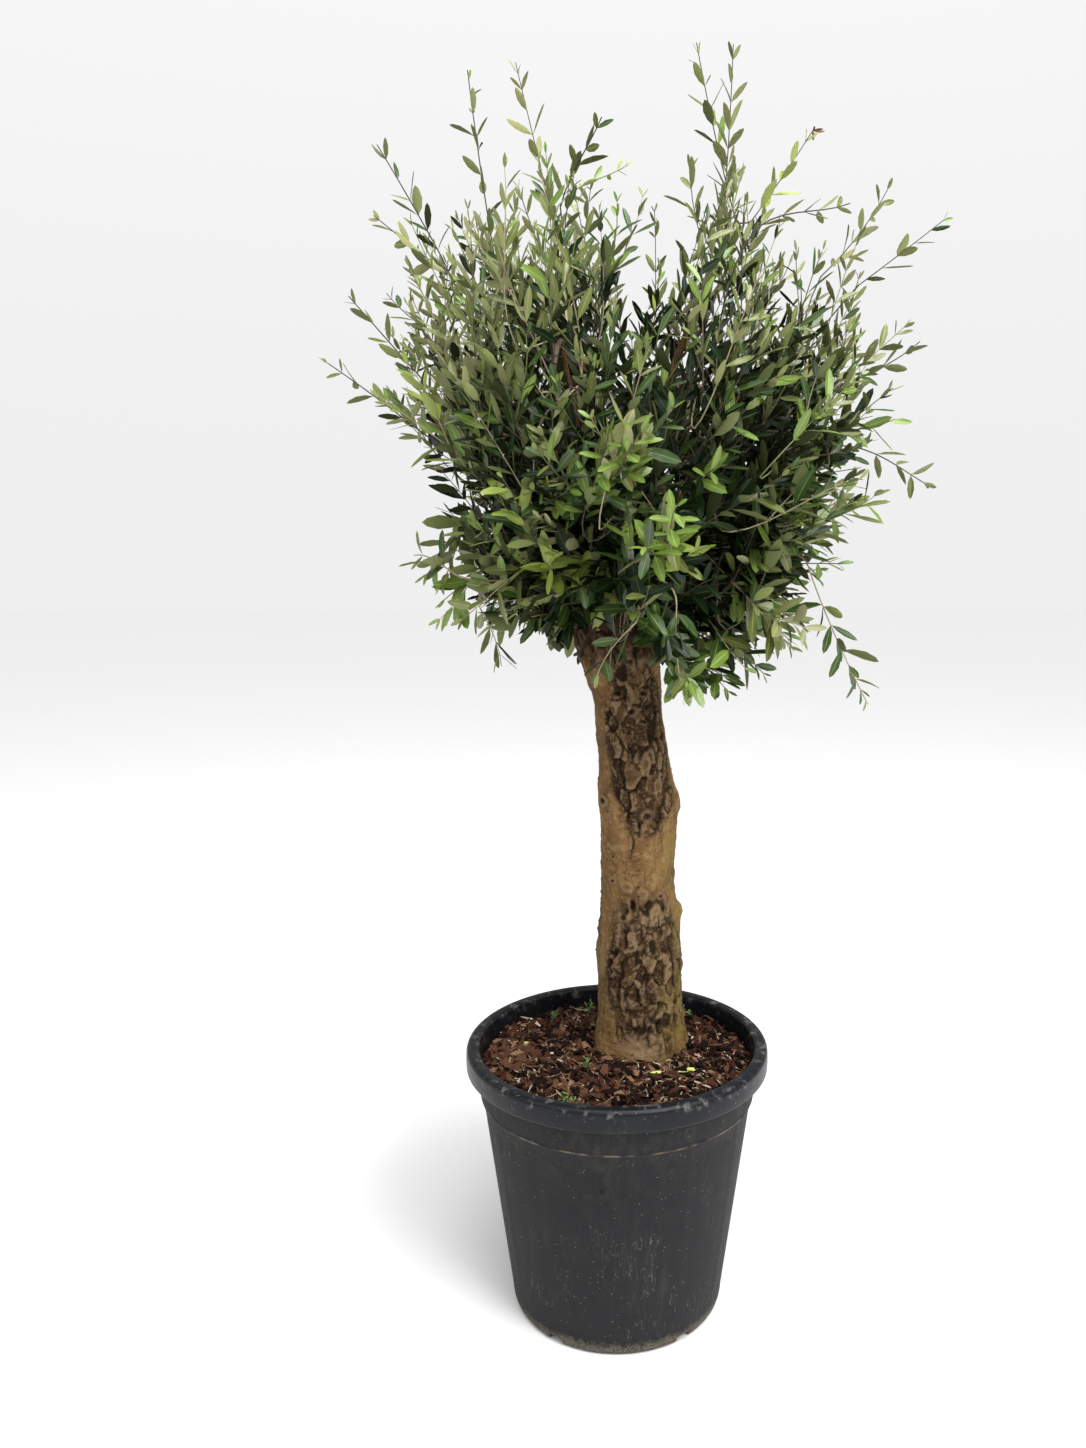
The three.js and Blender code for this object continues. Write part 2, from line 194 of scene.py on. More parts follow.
def maths(tree, operation, a, b=0.0):
    return node(tree, "ShaderNodeMath", {0: a, 1: b}, operation=operation).outputs[0]


def times(tree, a, b):
    return maths(tree, "MULTIPLY", a, b)


def blend(tree, factor, a, b):
    """Mixes two colours; each is an RGB triple or a socket."""
    first, second = (c if isinstance(c, bpy.types.NodeSocket) else (*c, 1) for c in (a, b))
    return node(tree, "ShaderNodeMix", {0: factor, 6: first, 7: second}, data_type="RGBA").outputs[2]


def wash(tree, base, mask, most, tint):
    """Lays a tint over a colour, as far as a mask and a largest share allow."""
    return blend(tree, times(tree, mask, most), base, tint)


def bump(tree, height, distance, strength=1.0, under=None):
    inputs = {"Height": height, "Distance": distance, "Strength": strength}
    if under is not None:
        inputs["Normal"] = under
    return node(tree, "ShaderNodeBump", inputs).outputs["Normal"]


# Charcoal plastic: clean and faintly glossy on the rim, with pale scuffs and a painted sheen along its
# top, dull and muddied below it.
PLASTIC = (0.0040, 0.0047, 0.0074)
PLASTIC_FADED = (0.0085, 0.0090, 0.0108)
MUD = (0.033, 0.030, 0.026)
CHALK = (0.23, 0.22, 0.20)
DARK_STAIN = (0.016, 0.016, 0.017)
DRIED_SOIL = (0.125, 0.108, 0.078)
SEAM_DIRT = (0.20, 0.155, 0.105)
MARK_TINT = (0.0022, 0.0022, 0.0026)
MARK_ANGLE = math.radians(-96)
MARK_HEIGHT = 0.272

plastic, tree, surface = shader("charcoal_plastic")
plain = place(tree)
height = node(tree, "ShaderNodeSeparateXYZ", {0: plain}).outputs["Z"]
below_rim = span(tree, height, band_top + 0.001, band_top - 0.002)
streaks = cloud(tree, place(tree, (1, 1, 0.12)), 34, 6, 0.65)
patches = cloud(tree, plain, 9, 5, 0.6)
swirls = node(tree, "ShaderNodeTexNoise", {
    "Vector": place(tree, (1, 1, 0.55)), "Scale": 42, "Detail": 7, "Roughness": 0.72, "Distortion": 1.6,
}).outputs["Fac"]
grit = cloud(tree, plain, 420, 2, 0.5)
upper = span(tree, height, 0.235, step_foot + 0.03)
upper = times(tree, upper, below_rim)
dust = times(tree, span(tree, swirls, 0.42, 0.66), maths(tree, "ADD", upper, 0.42))
dust = times(tree, dust, below_rim)
base = blend(tree, span(tree, patches, 0.35, 0.7), PLASTIC, PLASTIC_FADED)
base = wash(tree, base, below_rim, 0.55, PLASTIC_FADED)
base = wash(tree, base, dust, 0.75, MUD)
streaky = times(tree, span(tree, streaks, 0.55, 0.75), below_rim)
base = wash(tree, base, streaky, 0.45, MUD)
dark_streaks = cloud(tree, place(tree, (1, 1, 0.10)), 21, 4, 0.6)
dark_streaky = times(tree, span(tree, dark_streaks, 0.60, 0.72), below_rim)
base = wash(tree, base, dark_streaky, 0.6, DARK_STAIN)
scratch = cloud(tree, place(tree, (1, 1, 0.035)), 150, 1, 0.4)
scratch = span(tree, maths(tree, "ABSOLUTE", maths(tree, "SUBTRACT", scratch, 0.5)), 0.0060, 0.0022)
scratch = times(tree, scratch, span(tree, patches, 0.50, 0.62))
base = wash(tree, base, scratch, 0.5, CHALK)
specks = node(tree, "ShaderNodeTexVoronoi", {"Vector": plain, "Scale": 150}).outputs["Distance"]
specks = span(tree, specks, 0.13, 0.07)
chosen = span(tree, cloud(tree, plain, 70, 1), 0.50, 0.56)
specks = times(tree, specks, chosen)
base = wash(tree, base, specks, 0.8, CHALK)
mark_out = wall_radius(MARK_HEIGHT)
mark_spot = (mark_out * math.cos(MARK_ANGLE), mark_out * math.sin(MARK_ANGLE), MARK_HEIGHT)
from_mark = node(tree, "ShaderNodeVectorMath", {0: plain, 1: mark_spot}, operation="DISTANCE")
marked = span(tree, from_mark.outputs["Value"], 0.0048, 0.0038)
base = wash(tree, base, marked, 0.85, MARK_TINT)
edge_wave = maths(tree, "ADD", height, times(tree, swirls, -0.030))
crust = span(tree, edge_wave, 0.009, -0.004)
crust = times(tree, crust, span(tree, grit, 0.30, 0.52))
base = wash(tree, base, crust, 0.88, DRIED_SOIL)
seam = maths(tree, "ABSOLUTE", maths(tree, "SUBTRACT", height, step_foot + 0.0015))
seam = times(tree, span(tree, seam, 0.0024, 0.0006), span(tree, streaks, 0.40, 0.62))
base = wash(tree, base, seam, 0.65, SEAM_DIRT)
# Scuffs on the top of the rim: real pale scuffs, and a painted sheen.
scuffs_and_sheen = times(tree, span(tree, cloud(tree, plain, 60, 6, 0.7), 0.52, 0.70),
               span(tree, height, POT_HEIGHT - 0.020, POT_HEIGHT - 0.005))
base = wash(tree, base, scuffs_and_sheen, 0.55, CHALK)
tree.links.new(base, surface.inputs["Base Color"])
dull = maths(tree, "MULTIPLY_ADD", below_rim, 0.26)
dull.node.inputs[2].default_value = 0.32
dull = maths(tree, "ADD", dull, times(tree, dust, 0.25))
dull = maths(tree, "ADD", dull, times(tree, patches, 0.10))
tree.links.new(dull, surface.inputs["Roughness"])
surface.inputs["Specular IOR Level"].default_value = 0.22
relief = bump(tree, swirls, 0.0012, 0.35)
relief = bump(tree, crust, 0.0016, 0.8, relief)
tree.links.new(bump(tree, grit, 0.0004, 0.35, relief), surface.inputs["Normal"])
container.data.materials.append(plastic)
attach(container, "root")
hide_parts("pot")

# ---- Growing medium ------------------------------------------------------------------------
# Composted bark chips, coir and a little peat, filled to just under the rim and heaped round
# the foot of the trunk. Chips in five tints and coir fibres lie loose on the top.

soil_low, soil_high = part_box("growing_medium")
BED_EDGE = wall_radius(soil_high.z - 0.014) - WALL - 0.0012
BED_EDGE_Z = soil_high.z - 0.020
BED_STEPS = 180
BED_RINGS = 46
CLOD_X, CLOD_Y = -0.158, -0.022
CLOD_RISE = 0.015
CLOD_REACH = 0.036
FOOT_CLEARANCE = 0.063
plain_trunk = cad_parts["trunk"].data
foot_low, foot_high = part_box("trunk")
foot_points = np.array([v.co for v in plain_trunk.vertices if v.co.z < foot_low.z + 0.002])
FOOT_X, FOOT_Y = (foot_points.min(0)[:2] + foot_points.max(0)[:2]) / 2


def bed_height(x, y):
    """Height of the uneven top of the growing medium."""
    out = math.hypot(x, y) / BED_EDGE
    from_trunk = math.hypot(x - FOOT_X, y - FOOT_Y)
    heap = 0.006 * math.exp(-((from_trunk / 0.10) ** 2))
    clod = CLOD_RISE * math.exp(-(((x - CLOD_X) / 0.026) ** 2 + ((y - CLOD_Y) / 0.034) ** 2) ** 2)
    slope = soil_high.z - 0.004 - 0.013 * out ** 2.2
    spot = Vector((x, y, 0))
    lumps = 0.0085 * noise.noise(spot * 22) + 0.0065 * noise.noise(spot * 55)
    crumbs = 0.0028 * noise.noise(spot * 150) + 0.0012 * noise.noise(spot * 420)
    settle = min(1.0, max(0.0, (1 - out) * 9))
    return slope + heap + clod + (lumps + crumbs) * (0.35 + 0.65 * settle)


profile = [(0, soil_low.z + 0.004), (BASE_RADIUS - 0.010, soil_low.z + 0.004)]
profile += [(wall_radius(z) - WALL - 0.002, z) for z in np.linspace(0.03, BED_EDGE_Z, 4)]
profile += [(BED_EDGE * (1 - i / BED_RINGS), soil_high.z) for i in range(BED_RINGS + 1)]
bm = turned_body(profile, BED_STEPS)
for vert in bm.verts:
    if vert.co.z > BED_EDGE_Z + 0.001:
        vert.co.z = bed_height(vert.co.x, vert.co.y)
bed = smooth_mesh(bm, "growing_medium_bed", 80)

COMPOST_DARK = (0.0050, 0.0020, 0.0013)
COMPOST_RED = (0.026, 0.0092, 0.0048)
COMPOST_STRAND = (0.085, 0.041, 0.023)

compost, tree, surface = shader("composted_bark")
plain = place(tree)
clumps = cloud(tree, plain, 45, 6, 0.7)
strands = node(tree, "ShaderNodeTexNoise", {
    "Vector": plain, "Scale": 160, "Detail": 6, "Roughness": 0.7, "Distortion": 3.0,
}).outputs["Fac"]
base = blend(tree, span(tree, clumps, 0.35, 0.68), COMPOST_DARK, COMPOST_RED)
base = blend(tree, span(tree, strands, 0.60, 0.74), base, COMPOST_STRAND)
tree.links.new(base, surface.inputs["Base Color"])
surface.inputs["Roughness"].default_value = 0.92
surface.inputs["Specular IOR Level"].default_value = 0.12
relief = bump(tree, strands, 0.0035, 0.9)
tree.links.new(bump(tree, clumps, 0.005, 0.6, relief), surface.inputs["Normal"])
bed.data.materials.append(compost)
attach(bed, "root")
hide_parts("growing_medium")


def joined(name, verts, faces, slots, materials, sharp_degrees=50):
    """One mesh piece from stacked arrays; a face lists 3 corners, or 4."""
    mesh = bpy.data.meshes.new(name)
    mesh.from_pydata(verts, [], faces)
    for material in materials:
        mesh.materials.append(material)
    mesh.polygons.foreach_set("material_index", np.asarray(slots, np.int32))
    mesh.shade_smooth()
    mesh.set_sharp_from_angle(angle=math.radians(sharp_degrees))
    mesh.update()
    piece = bpy.data.objects.new(name, mesh)
    bpy.context.scene.collection.objects.link(piece)
    return piece


def tinted(name, colour, roughness, specular=0.5):
    """One plain tint of a small loose thing, dealt out piece by piece."""
    material, _, surface = shader(name)
    surface.inputs["Base Color"].default_value = (*colour, 1)
    surface.inputs["Roughness"].default_value = roughness
    surface.inputs["Specular IOR Level"].default_value = specular
    return material


def stamp(shape, places, slots):
    """Copies a small bmesh shape to each 4x4 place, and stacks the copies as arrays."""
    corners = np.array([v.co for v in shape.verts])
    loops = [tuple(v.index for v in f.verts) for f in shape.faces]
    verts, faces, kinds = [], [], []
    for matrix, slot in zip(places, slots):
        spin = np.array(matrix)
        start = len(verts) * len(corners)
        verts.append(corners @ spin[:3, :3].T + spin[:3, 3])
        faces += [tuple(start + i for i in loop) for loop in loops]
        kinds += [slot] * len(loops)
    return np.concatenate(verts), faces, kinds


def scattered(rng, outer=0.985):
    """A spot on the bed, clear of the trunk's foot."""
    while True:
        angle = rng.uniform(0, 2 * math.pi)
        out = BED_EDGE * outer * math.sqrt(rng.random())
        x, y = out * math.cos(angle), out * math.sin(angle)
        if math.hypot(x - FOOT_X, y - FOOT_Y) > FOOT_CLEARANCE:
            return x, y


# Bark chips: tapered flakes in five tints, tumbled over the bed, browner on the clod.
CHIP_COUNT = 3400
CHIP_TINTS = [
    tinted("chip_dark", (0.0080, 0.0036, 0.0024), 0.9, 0.12),
    tinted("chip_red", (0.048, 0.017, 0.0092), 0.88, 0.15),
    tinted("chip_brown", (0.082, 0.037, 0.020), 0.88, 0.15),
    tinted("chip_tan", (0.210, 0.120, 0.066), 0.85, 0.2),
    tinted("chip_pale", (0.50, 0.42, 0.32), 0.8, 0.3),
]
CHIP_DARK, CHIP_RED, CHIP_BROWN, CHIP_TAN, CHIP_PALE = range(5)
CHIP_SHARES = (40, 32, 18, 6, 4)
rng = random.Random(7)
bm = bmesh.new()
bmesh.ops.create_cube(bm, size=1)
long_edges = [e for e in bm.edges if abs((e.verts[0].co - e.verts[1].co).x) > 0.5]
bmesh.ops.subdivide_edges(bm, edges=long_edges, cuts=1)
for vert in bm.verts:
    end = abs(vert.co.x) > 0.4
    vert.co.y *= 0.55 if end else 1.0
    vert.co.z *= 0.45 if end else 1.0
    vert.co.z += 0.12 * (1 - 4 * vert.co.x ** 2)
bm.verts.index_update()
places, slots = [], []
for _ in range(CHIP_COUNT):
    x, y = scattered(rng)
    size = rng.choice((0.5, 0.7, 0.9, 1.0, 1.7))
    kind = rng.choices(range(5), CHIP_SHARES)[0]
    if kind in (CHIP_DARK, CHIP_RED) and math.hypot(x - CLOD_X, y - CLOD_Y) < CLOD_REACH:
        kind = CHIP_BROWN
    thin = 0.45 if kind == CHIP_PALE else 1.0
    long = size * rng.uniform(0.008, 0.019)
    wide = thin * size * rng.uniform(0.003, 0.008)
    thick = thin * size * rng.uniform(0.0015, 0.0045)
    lean = Matrix.Rotation(rng.gauss(0, 0.45), 4, "Y") @ Matrix.Rotation(rng.gauss(0, 0.5), 4, "X")
    spot = Vector((x, y, bed_height(x, y) + rng.uniform(0.0, 0.0042)))
    turn = Matrix.Rotation(rng.uniform(0, 6.28), 4, "Z")
    places.append(Matrix.Translation(spot) @ turn @ lean @ Matrix.Diagonal((long, wide, thick, 1)))
    slots.append(kind)
verts, faces, kinds = stamp(bm, places, slots)
bm.free()
chips = joined("bark_chips", verts, faces, kinds, CHIP_TINTS, 30)
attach(chips, "root")


def carried_frames(points):
    """Tangent, side and upward vectors carried along a line without twisting."""
    points = np.asarray(points, float)
    along = np.gradient(points, axis=0)
    along /= np.linalg.norm(along, axis=1, keepdims=True)
    first = np.cross(along[0], (0.31, 0.17, 0.93))
    sides = [first / np.linalg.norm(first)]
    for way in along[1:]:
        side = sides[-1] - way * np.dot(sides[-1], way)
        sides.append(side / np.linalg.norm(side))
    sides = np.array(sides)
    return along, sides, np.cross(along, sides)


def ring_faces(start, rows, around):
    """Faces of a closed tube of rings stacked from one vertex index on, caps last."""
    faces = []
    for low in range(start, start + (rows - 1) * around, around):
        for col in range(around):
            nxt = (col + 1) % around
            faces.append((low + col, low + nxt, low + around + nxt, low + around + col))
    faces.append(tuple(reversed(range(start, start + around))))
    faces.append(tuple(range(start + (rows - 1) * around, start + rows * around)))
    return faces


def tubes(lines, corners):
    """Round stems along (points, radii, slot) lines, as stacked arrays with closed ends."""
    ring = np.arange(corners) * 2 * math.pi / corners
    verts, faces, kinds, start = [], [], [], 0
    for points, radii, slot in lines:
        points = np.asarray(points, float)
        _, sides, ups = carried_frames(points)
        spokes = (np.cos(ring)[None, :, None] * sides[:, None, :] +
                  np.sin(ring)[None, :, None] * ups[:, None, :])
        hoops = points[:, None, :] + spokes * np.asarray(radii)[:, None, None]
        verts.append(hoops.reshape(-1, 3))
        count = len(points)
        faces += ring_faces(start, count, corners)
        kinds += [slot] * ((count - 1) * corners + 2)
        start += count * corners
    return np.concatenate(verts), faces, kinds


# Loose coir fibres lie in shallow curves over the chips.
FIBRE_COUNT = 420
FIBRE_POINTS = 8
FIBRE_TINTS = [
    tinted("fibre_brown", (0.16, 0.085, 0.045), 0.85, 0.3),
    tinted("fibre_red", (0.095, 0.038, 0.022), 0.85, 0.3),
    tinted("fibre_straw", (0.46, 0.37, 0.25), 0.8, 0.3),
]
FIBRE_SHARES = (5, 4, 1.3)
lines = []
for _ in range(FIBRE_COUNT):
    x, y = scattered(rng, 0.97)
    way, turn = rng.uniform(0, 6.28), rng.gauss(0, 0.45)
    step = rng.uniform(0.0025, 0.0065)
    points = []
    for _ in range(FIBRE_POINTS):
        points.append((x, y, bed_height(x, y) + 0.0022 + rng.uniform(0, 0.0016)))
        x, y = x + step * math.cos(way), y + step * math.sin(way)
        way += turn + rng.gauss(0, 0.2)
    if math.hypot(x, y) < BED_EDGE * 0.99:
        thick = rng.choice((0.0003, 0.00045, 0.0007))
        radii = np.linspace(thick, thick * 0.5, FIBRE_POINTS)
        lines.append((points, radii, rng.choices(range(3), FIBRE_SHARES)[0]))
verts, faces, kinds = tubes(lines, 4)
fibres = joined("coir_fibres", verts, faces, kinds, FIBRE_TINTS)
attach(fibres, "root")

# ---- Trunk ---------------------------------------------------------------------------------
# The bole of an old field-grown olive, cut back and potted: tan and finely lined where it is
# young, broken into dark flaky plates up the front, with burls and knots of dormant buds.

TRUNK_AROUND = 200
TRUNK_UP = 340
TRUNK_SUNK = 0.024
CROWN_OF_HEAD = 0.016
BARK_SEED = 3
TRUNK_EASING = 30
PAINTED_LIGHT_SPREAD = 9
noise.seed_set(BARK_SEED)  # noise_vector would otherwise start from the clock


def surface_tree(mesh):
    return BVHTree.FromPolygons([v.co for v in mesh.vertices], [p.vertices for p in mesh.polygons])


cad_trunk = surface_tree(plain_trunk)
trunk_points = np.array([v.co for v in plain_trunk.vertices])
head_points = trunk_points[trunk_points[:, 2] > foot_high.z - 0.002]
FOOT = Vector((FOOT_X, FOOT_Y, foot_low.z))
HEAD = Vector((*head_points.mean(0)[:2], foot_high.z))

# Rough plated zones: angle and height of the middle, half width in degrees and half height.
ROUGH_ZONES = (
    (286, 0.515, 66, 0.120), (290, 0.850, 60, 0.125), (250, 1.03, 120, 0.070),
    (120, 0.560, 60, 0.130), (85, 0.880, 45, 0.110), (40, 0.440, 30, 0.050),
)
# Knots: angle, height, reach and rise in millimetres, and how far the middle is sunk.
KNOTS = (
    (216, 0.772, 15, 6.5, 1.25), (0, 0.762, 26, 4.5, 0.0), (2, 0.603, 12, 6.5, 0.3),
    (262, 0.648, 13, 3.5, 0.5), (284, 0.640, 10, 4.0, 0.2), (252, 0.604, 12, 4.5, 1.0),
    (247, 0.590, 8, 3.0, 0.0), (270, 0.590, 11, 4.0, 0.3), (284, 0.600, 14, 4.5, 0.2),
    (296, 0.615, 12, 4.0, 0.4), (290, 0.578, 12, 4.0, 0.3), (304, 0.592, 10, 3.5, 0.2),
    (318, 0.580, 9, 4.5, 0.0), (262, 0.570, 9, 3.0, 0.5), (308, 0.634, 9, 3.0, 0.8),
    (236, 0.655, 9, 2.5, 1.0), (232, 0.690, 6, 1.8, 1.2), (285, 0.905, 13, 5.0, 1.1),
    (262, 0.925, 11, 4.5, 0.3), (298, 0.755, 14, 4.0, 0.9), (300, 0.930, 10, 4.0, 1.1),
    (196, 0.985, 18, 6.0, 0.4), (215, 1.035, 20, 7.0, 0.2), (285, 0.975, 11, 4.0, 1.0),
    (278, 0.445, 16, 4.5, 0.5), (300, 0.452, 13, 5.0, 0.8), (255, 0.470, 12, 4.0, 0.3),
    (100, 0.700, 24, 6.0, 0.3), (140, 0.800, 14, 5.0, 1.1), (70, 0.620, 16, 5.0, 0.6),
    (30, 0.860, 12, 4.0, 0.9), (165, 0.600, 12, 3.5, 1.0), (120, 0.960, 20, 5.0, 0.4),
)
# Long cracks down the bole: angle, foot and top height, and depth in millimetres.
CRACKS = (
    (326, 0.790, 0.925, 3.4), (312, 0.810, 0.900, 2.6), (318, 0.440, 0.560, 3.0),
    (241, 0.462, 0.535, 3.2), (268, 0.690, 0.735, 1.6), (232, 0.400, 0.450, 2.4),
    (345, 0.395, 0.470, 2.6), (262, 0.800, 0.885, 3.0), (296, 0.960, 1.020, 3.4),
    (150, 0.640, 0.760, 2.4), (60, 0.420, 0.560, 3.2), (190, 0.500, 0.600, 1.8),
)
HOLE = (268, 0.622)
# A strip of bark torn off low on the front has left pale wood with a ragged dark edge: the
# angle and height of its middle, with half its width in degrees and half its height.
TORN_ANGLE, TORN_HALF_WIDTH = -92, 34
TORN_HEIGHT, TORN_HALF_HEIGHT = 0.405, 0.026
BARK_FIELDS = ("rough", "crack_shade", "raised", "plate", "knotty")


def smooth(value, low, high):
    share = min(1.0, max(0.0, (value - low) / (high - low)))
    return share * share * (3 - 2 * share)


def turn_between(a, b):
    return (a - b + 180) % 360 - 180


def bark_relief(spot, angle, z, girth):
    """Rise of the bark in metres, and how rough, cracked, raised, plated and knotty it is."""
    warp = noise.noise_vector(spot * 24) * 0.011
    across_warp, up_warp = math.degrees(warp.x / girth), warp.z
    rough = 0.0
    for mid, level, half, tall in ROUGH_ZONES:
        wide = turn_between(angle + across_warp * 1.6, mid) / half
        high = (z + up_warp * 1.6 - level) / tall
        rough = max(rough, smooth(1.18 - math.hypot(wide, high) ** 1.5, 0.0, 0.34))
    lump = 0.0022 * noise.noise(spot * 13) + 0.0013 * noise.noise(spot * 34)

    # Flaky plates: cells stretched up the bole, each set at its own height and tilt.
    plate_spot = Vector((spot.x * 70, spot.y * 70, spot.z * 36)) + noise.noise_vector(spot * 40) * 0.55
    gaps, seeds = noise.voronoi(plate_spot)
    tilt = noise.cell_vector(seeds[0] * 17.3) - Vector((0.5, 0.5, 0.5))
    level = noise.cell(seeds[0] * 9.1 + Vector((5, 3, 1)))
    plate = 0.0018 * level + 0.0085 * tilt.dot(plate_spot - seeds[0])
    plate = max(-0.0034, min(0.0036, plate))
    open_gap = smooth(noise.noise(spot * 31 + Vector((7, 1, 4))), -0.10, 0.30)
    gap = smooth(gaps[1] - gaps[0], 0.17, 0.0) * (0.22 + 0.78 * open_gap)
    small_spot = spot * 135 + noise.noise_vector(spot * 90) * 0.9
    small_gaps, small_seeds = noise.voronoi(small_spot)
    flake = noise.cell(small_seeds[0] * 11.7)
    small_gap = smooth(small_gaps[1] - small_gaps[0], 0.20, 0.0) * smooth(flake, -0.2, 0.6)
    hollow = noise.noise(Vector((spot.x * 48, spot.y * 48, spot.z * 36)) + Vector((3, 9, 2)))
    hollow = smooth(hollow, 0.40, 0.56)
    scab = noise.fractal(spot * 80, 0.7, 2.3, 4)
    rise = rough * (0.0006 + plate + 0.0010 * flake + 0.0009 * scab - 0.0026 * gap
                    - 0.0011 * small_gap - 0.0034 * hollow)
    # Dark where the plates part, and, as painted shade, in the hollows and on the sunken plates.
    crack_shade = rough * max(gap, 0.5 * small_gap, 0.85 * hollow, 0.5 * smooth(-plate, 0.0012, 0.0036))

    # Younger bark: fine upright lines, soft wrinkles, short level splits and breathing pores.
    lines = noise.noise(Vector((spot.x * 150, spot.y * 150, spot.z * 16)))
    wrinkles = noise.noise(Vector((spot.x * 40, spot.y * 40, spot.z * 120)))
    pore_gaps, pore_seeds = noise.voronoi(spot * 62)
    pore = smooth(pore_gaps[0], 0.26, 0.06) * (noise.cell(pore_seeds[0] * 23.9) > 0.30)
    split_gaps, split_seeds = noise.voronoi(Vector((spot.x * 34, spot.y * 34, spot.z * 105)) + warp * 60)
    split = smooth(split_gaps[1] - split_gaps[0], 0.10, 0.0) * (noise.cell(split_seeds[0] * 5.3) > 0.45)
    rise += (1 - rough) * (0.0006 * lines + 0.0008 * wrinkles + 0.0011 * scab + 0.0016 * pore
                           - 0.0010 * split)
    crack_shade = max(crack_shade, (1 - rough) * 0.42 * split)
    raised = max(pore * 0.8 * (1 - rough), rough * smooth(level + 0.5 * flake, 0.4, 1.2))
    raised = max(raised, 0.8 * smooth(scab, 0.45, 0.9))

    knotty = 0.0
    for mid, level_z, reach, proud, sunk in KNOTS:
        side = math.radians(turn_between(angle + 0.5 * across_warp, mid)) * girth
        up = z + 0.5 * up_warp - level_z
        if abs(side) < 0.05 and abs(up) < 0.05:
            apart = math.hypot(side, up * 1.15) / (reach * 0.001)
            mound = math.exp(-1.6 * apart ** 2.4)
            pit = math.exp(-((apart / 0.42) ** 2)) * sunk
            rise += 0.001 * proud * (mound - pit)
            knotty = max(knotty, mound)
            crack_shade = max(crack_shade, smooth(pit, 0.25, 0.8))
            ridge = math.exp(-(((apart - 0.95) / 0.16) ** 2))
            crack_shade = max(crack_shade, 0.55 * ridge * smooth(wrinkles + lines, -0.3, 0.4))
            raised = max(raised, 0.7 * math.exp(-(((apart - 0.55) / 0.18) ** 2)))
    for mid, low, high, deep in CRACKS:
        if low - 0.02 < z < high + 0.02:
            side = math.radians(turn_between(angle + 1.5 * across_warp, mid)) * girth
            ends = smooth(z, low - 0.01, low + 0.02) * smooth(z, high + 0.01, high - 0.02)
            line = math.exp(-((side / 0.0026) ** 2)) * ends
            rise -= 0.001 * deep * line
            crack_shade = max(crack_shade, line)
    side = math.radians(turn_between(angle, HOLE[0])) * girth
    hole = math.exp(-((side / 0.0040) ** 2) - (((z - HOLE[1]) / 0.0080) ** 2))
    rise -= 0.011 * hole
    crack_shade = max(crack_shade, smooth(hole, 0.2, 0.6))
    return lump + rise, rough, crack_shade, raised, level, knotty


def eased(grid, rounds):
    """Smooths a grid of rows up the bole and columns round it."""
    for _ in range(rounds):
        grid = (np.roll(grid, 1, 1) + 2 * grid + np.roll(grid, -1, 1)) / 4
        padded = np.pad(grid, ((1, 1), (0, 0)), "edge")
        grid = (padded[:-2] + 2 * grid + padded[2:]) / 4
    return grid


levels = np.linspace(foot_low.z - TRUNK_SUNK, foot_high.z, TRUNK_UP)
angles = np.linspace(0, 2 * math.pi, TRUNK_AROUND, endpoint=False)
girths = np.zeros((TRUNK_UP, TRUNK_AROUND))
for row, z in enumerate(levels):
    inside = min(max(z, foot_low.z + 0.004), foot_high.z - 0.004)
    middle = FOOT.lerp(HEAD, (inside - foot_low.z) / (foot_high.z - foot_low.z))
    for col, angle in enumerate(angles):
        hit = cad_trunk.ray_cast(middle, Vector((math.cos(angle), math.sin(angle), 0)))
        girths[row, col] = hit[3]
girths = eased(girths, TRUNK_EASING)

spots, outs, rises, fields = [], [], [], []
for row, z in enumerate(levels):
    share = (z - foot_low.z) / (foot_high.z - foot_low.z)
    middle = FOOT.lerp(HEAD, min(1.0, max(0.0, share)))
    root_swell = 0.0035 * smooth(z, foot_low.z + 0.05, foot_low.z - 0.01)
    for col, angle in enumerate(angles):
        girth = girths[row, col]
        out = Vector((math.cos(angle), math.sin(angle), 0))
        spot = Vector((middle.x, middle.y, z)) + out * girth
        rise, *values = bark_relief(spot, math.degrees(angle), z, girth)
        spots.append(spot)
        outs.append(out)
        rises.append(rise + root_swell)
        fields.append(values)

# Painted shade darkens every hollow of the relief, and a painted highlight lightens every edge that
# stands proud of it.
rises = np.array(rises).reshape(TRUNK_UP, TRUNK_AROUND)
proud = (rises - eased(rises, PAINTED_LIGHT_SPREAD)).ravel()
fields = np.array(fields)
CRACK_SHADE_FIELD, RAISED = BARK_FIELDS.index("crack_shade"), BARK_FIELDS.index("raised")
fields[:, CRACK_SHADE_FIELD] = np.maximum(fields[:, CRACK_SHADE_FIELD], 0.80 * np.clip((-proud - 0.00022) / 0.0012, 0, 1))
fields[:, RAISED] = np.maximum(fields[:, RAISED], 0.75 * np.clip((proud - 0.00036) / 0.0012, 0, 1))
for index, (spot, out) in enumerate(zip(spots, outs)):
    turn = turn_between(math.degrees(math.atan2(out.y, out.x)), TORN_ANGLE) / TORN_HALF_WIDTH
    ragged = 0.7 * noise.noise(Vector((spot.x * 70, spot.z * 30, 4.0)))
    ragged += 0.5 * noise.noise(Vector((spot.x * 240, spot.z * 90, 9.0)))
    inside = 0.9 - math.hypot(turn, (spot.z - TORN_HEIGHT) / TORN_HALF_HEIGHT) + ragged
    if inside > 0:
        fields[index, RAISED] = max(fields[index, RAISED], min(0.85, 2.2 * inside))
        fields[index, CRACK_SHADE_FIELD] *= 0.6
    elif inside > -0.12:
        fields[index, CRACK_SHADE_FIELD] = max(fields[index, CRACK_SHADE_FIELD], 0.6)
fields = fields.tolist()
verts = [spot + out * rise for spot, out, rise in zip(spots, outs, rises.ravel())]
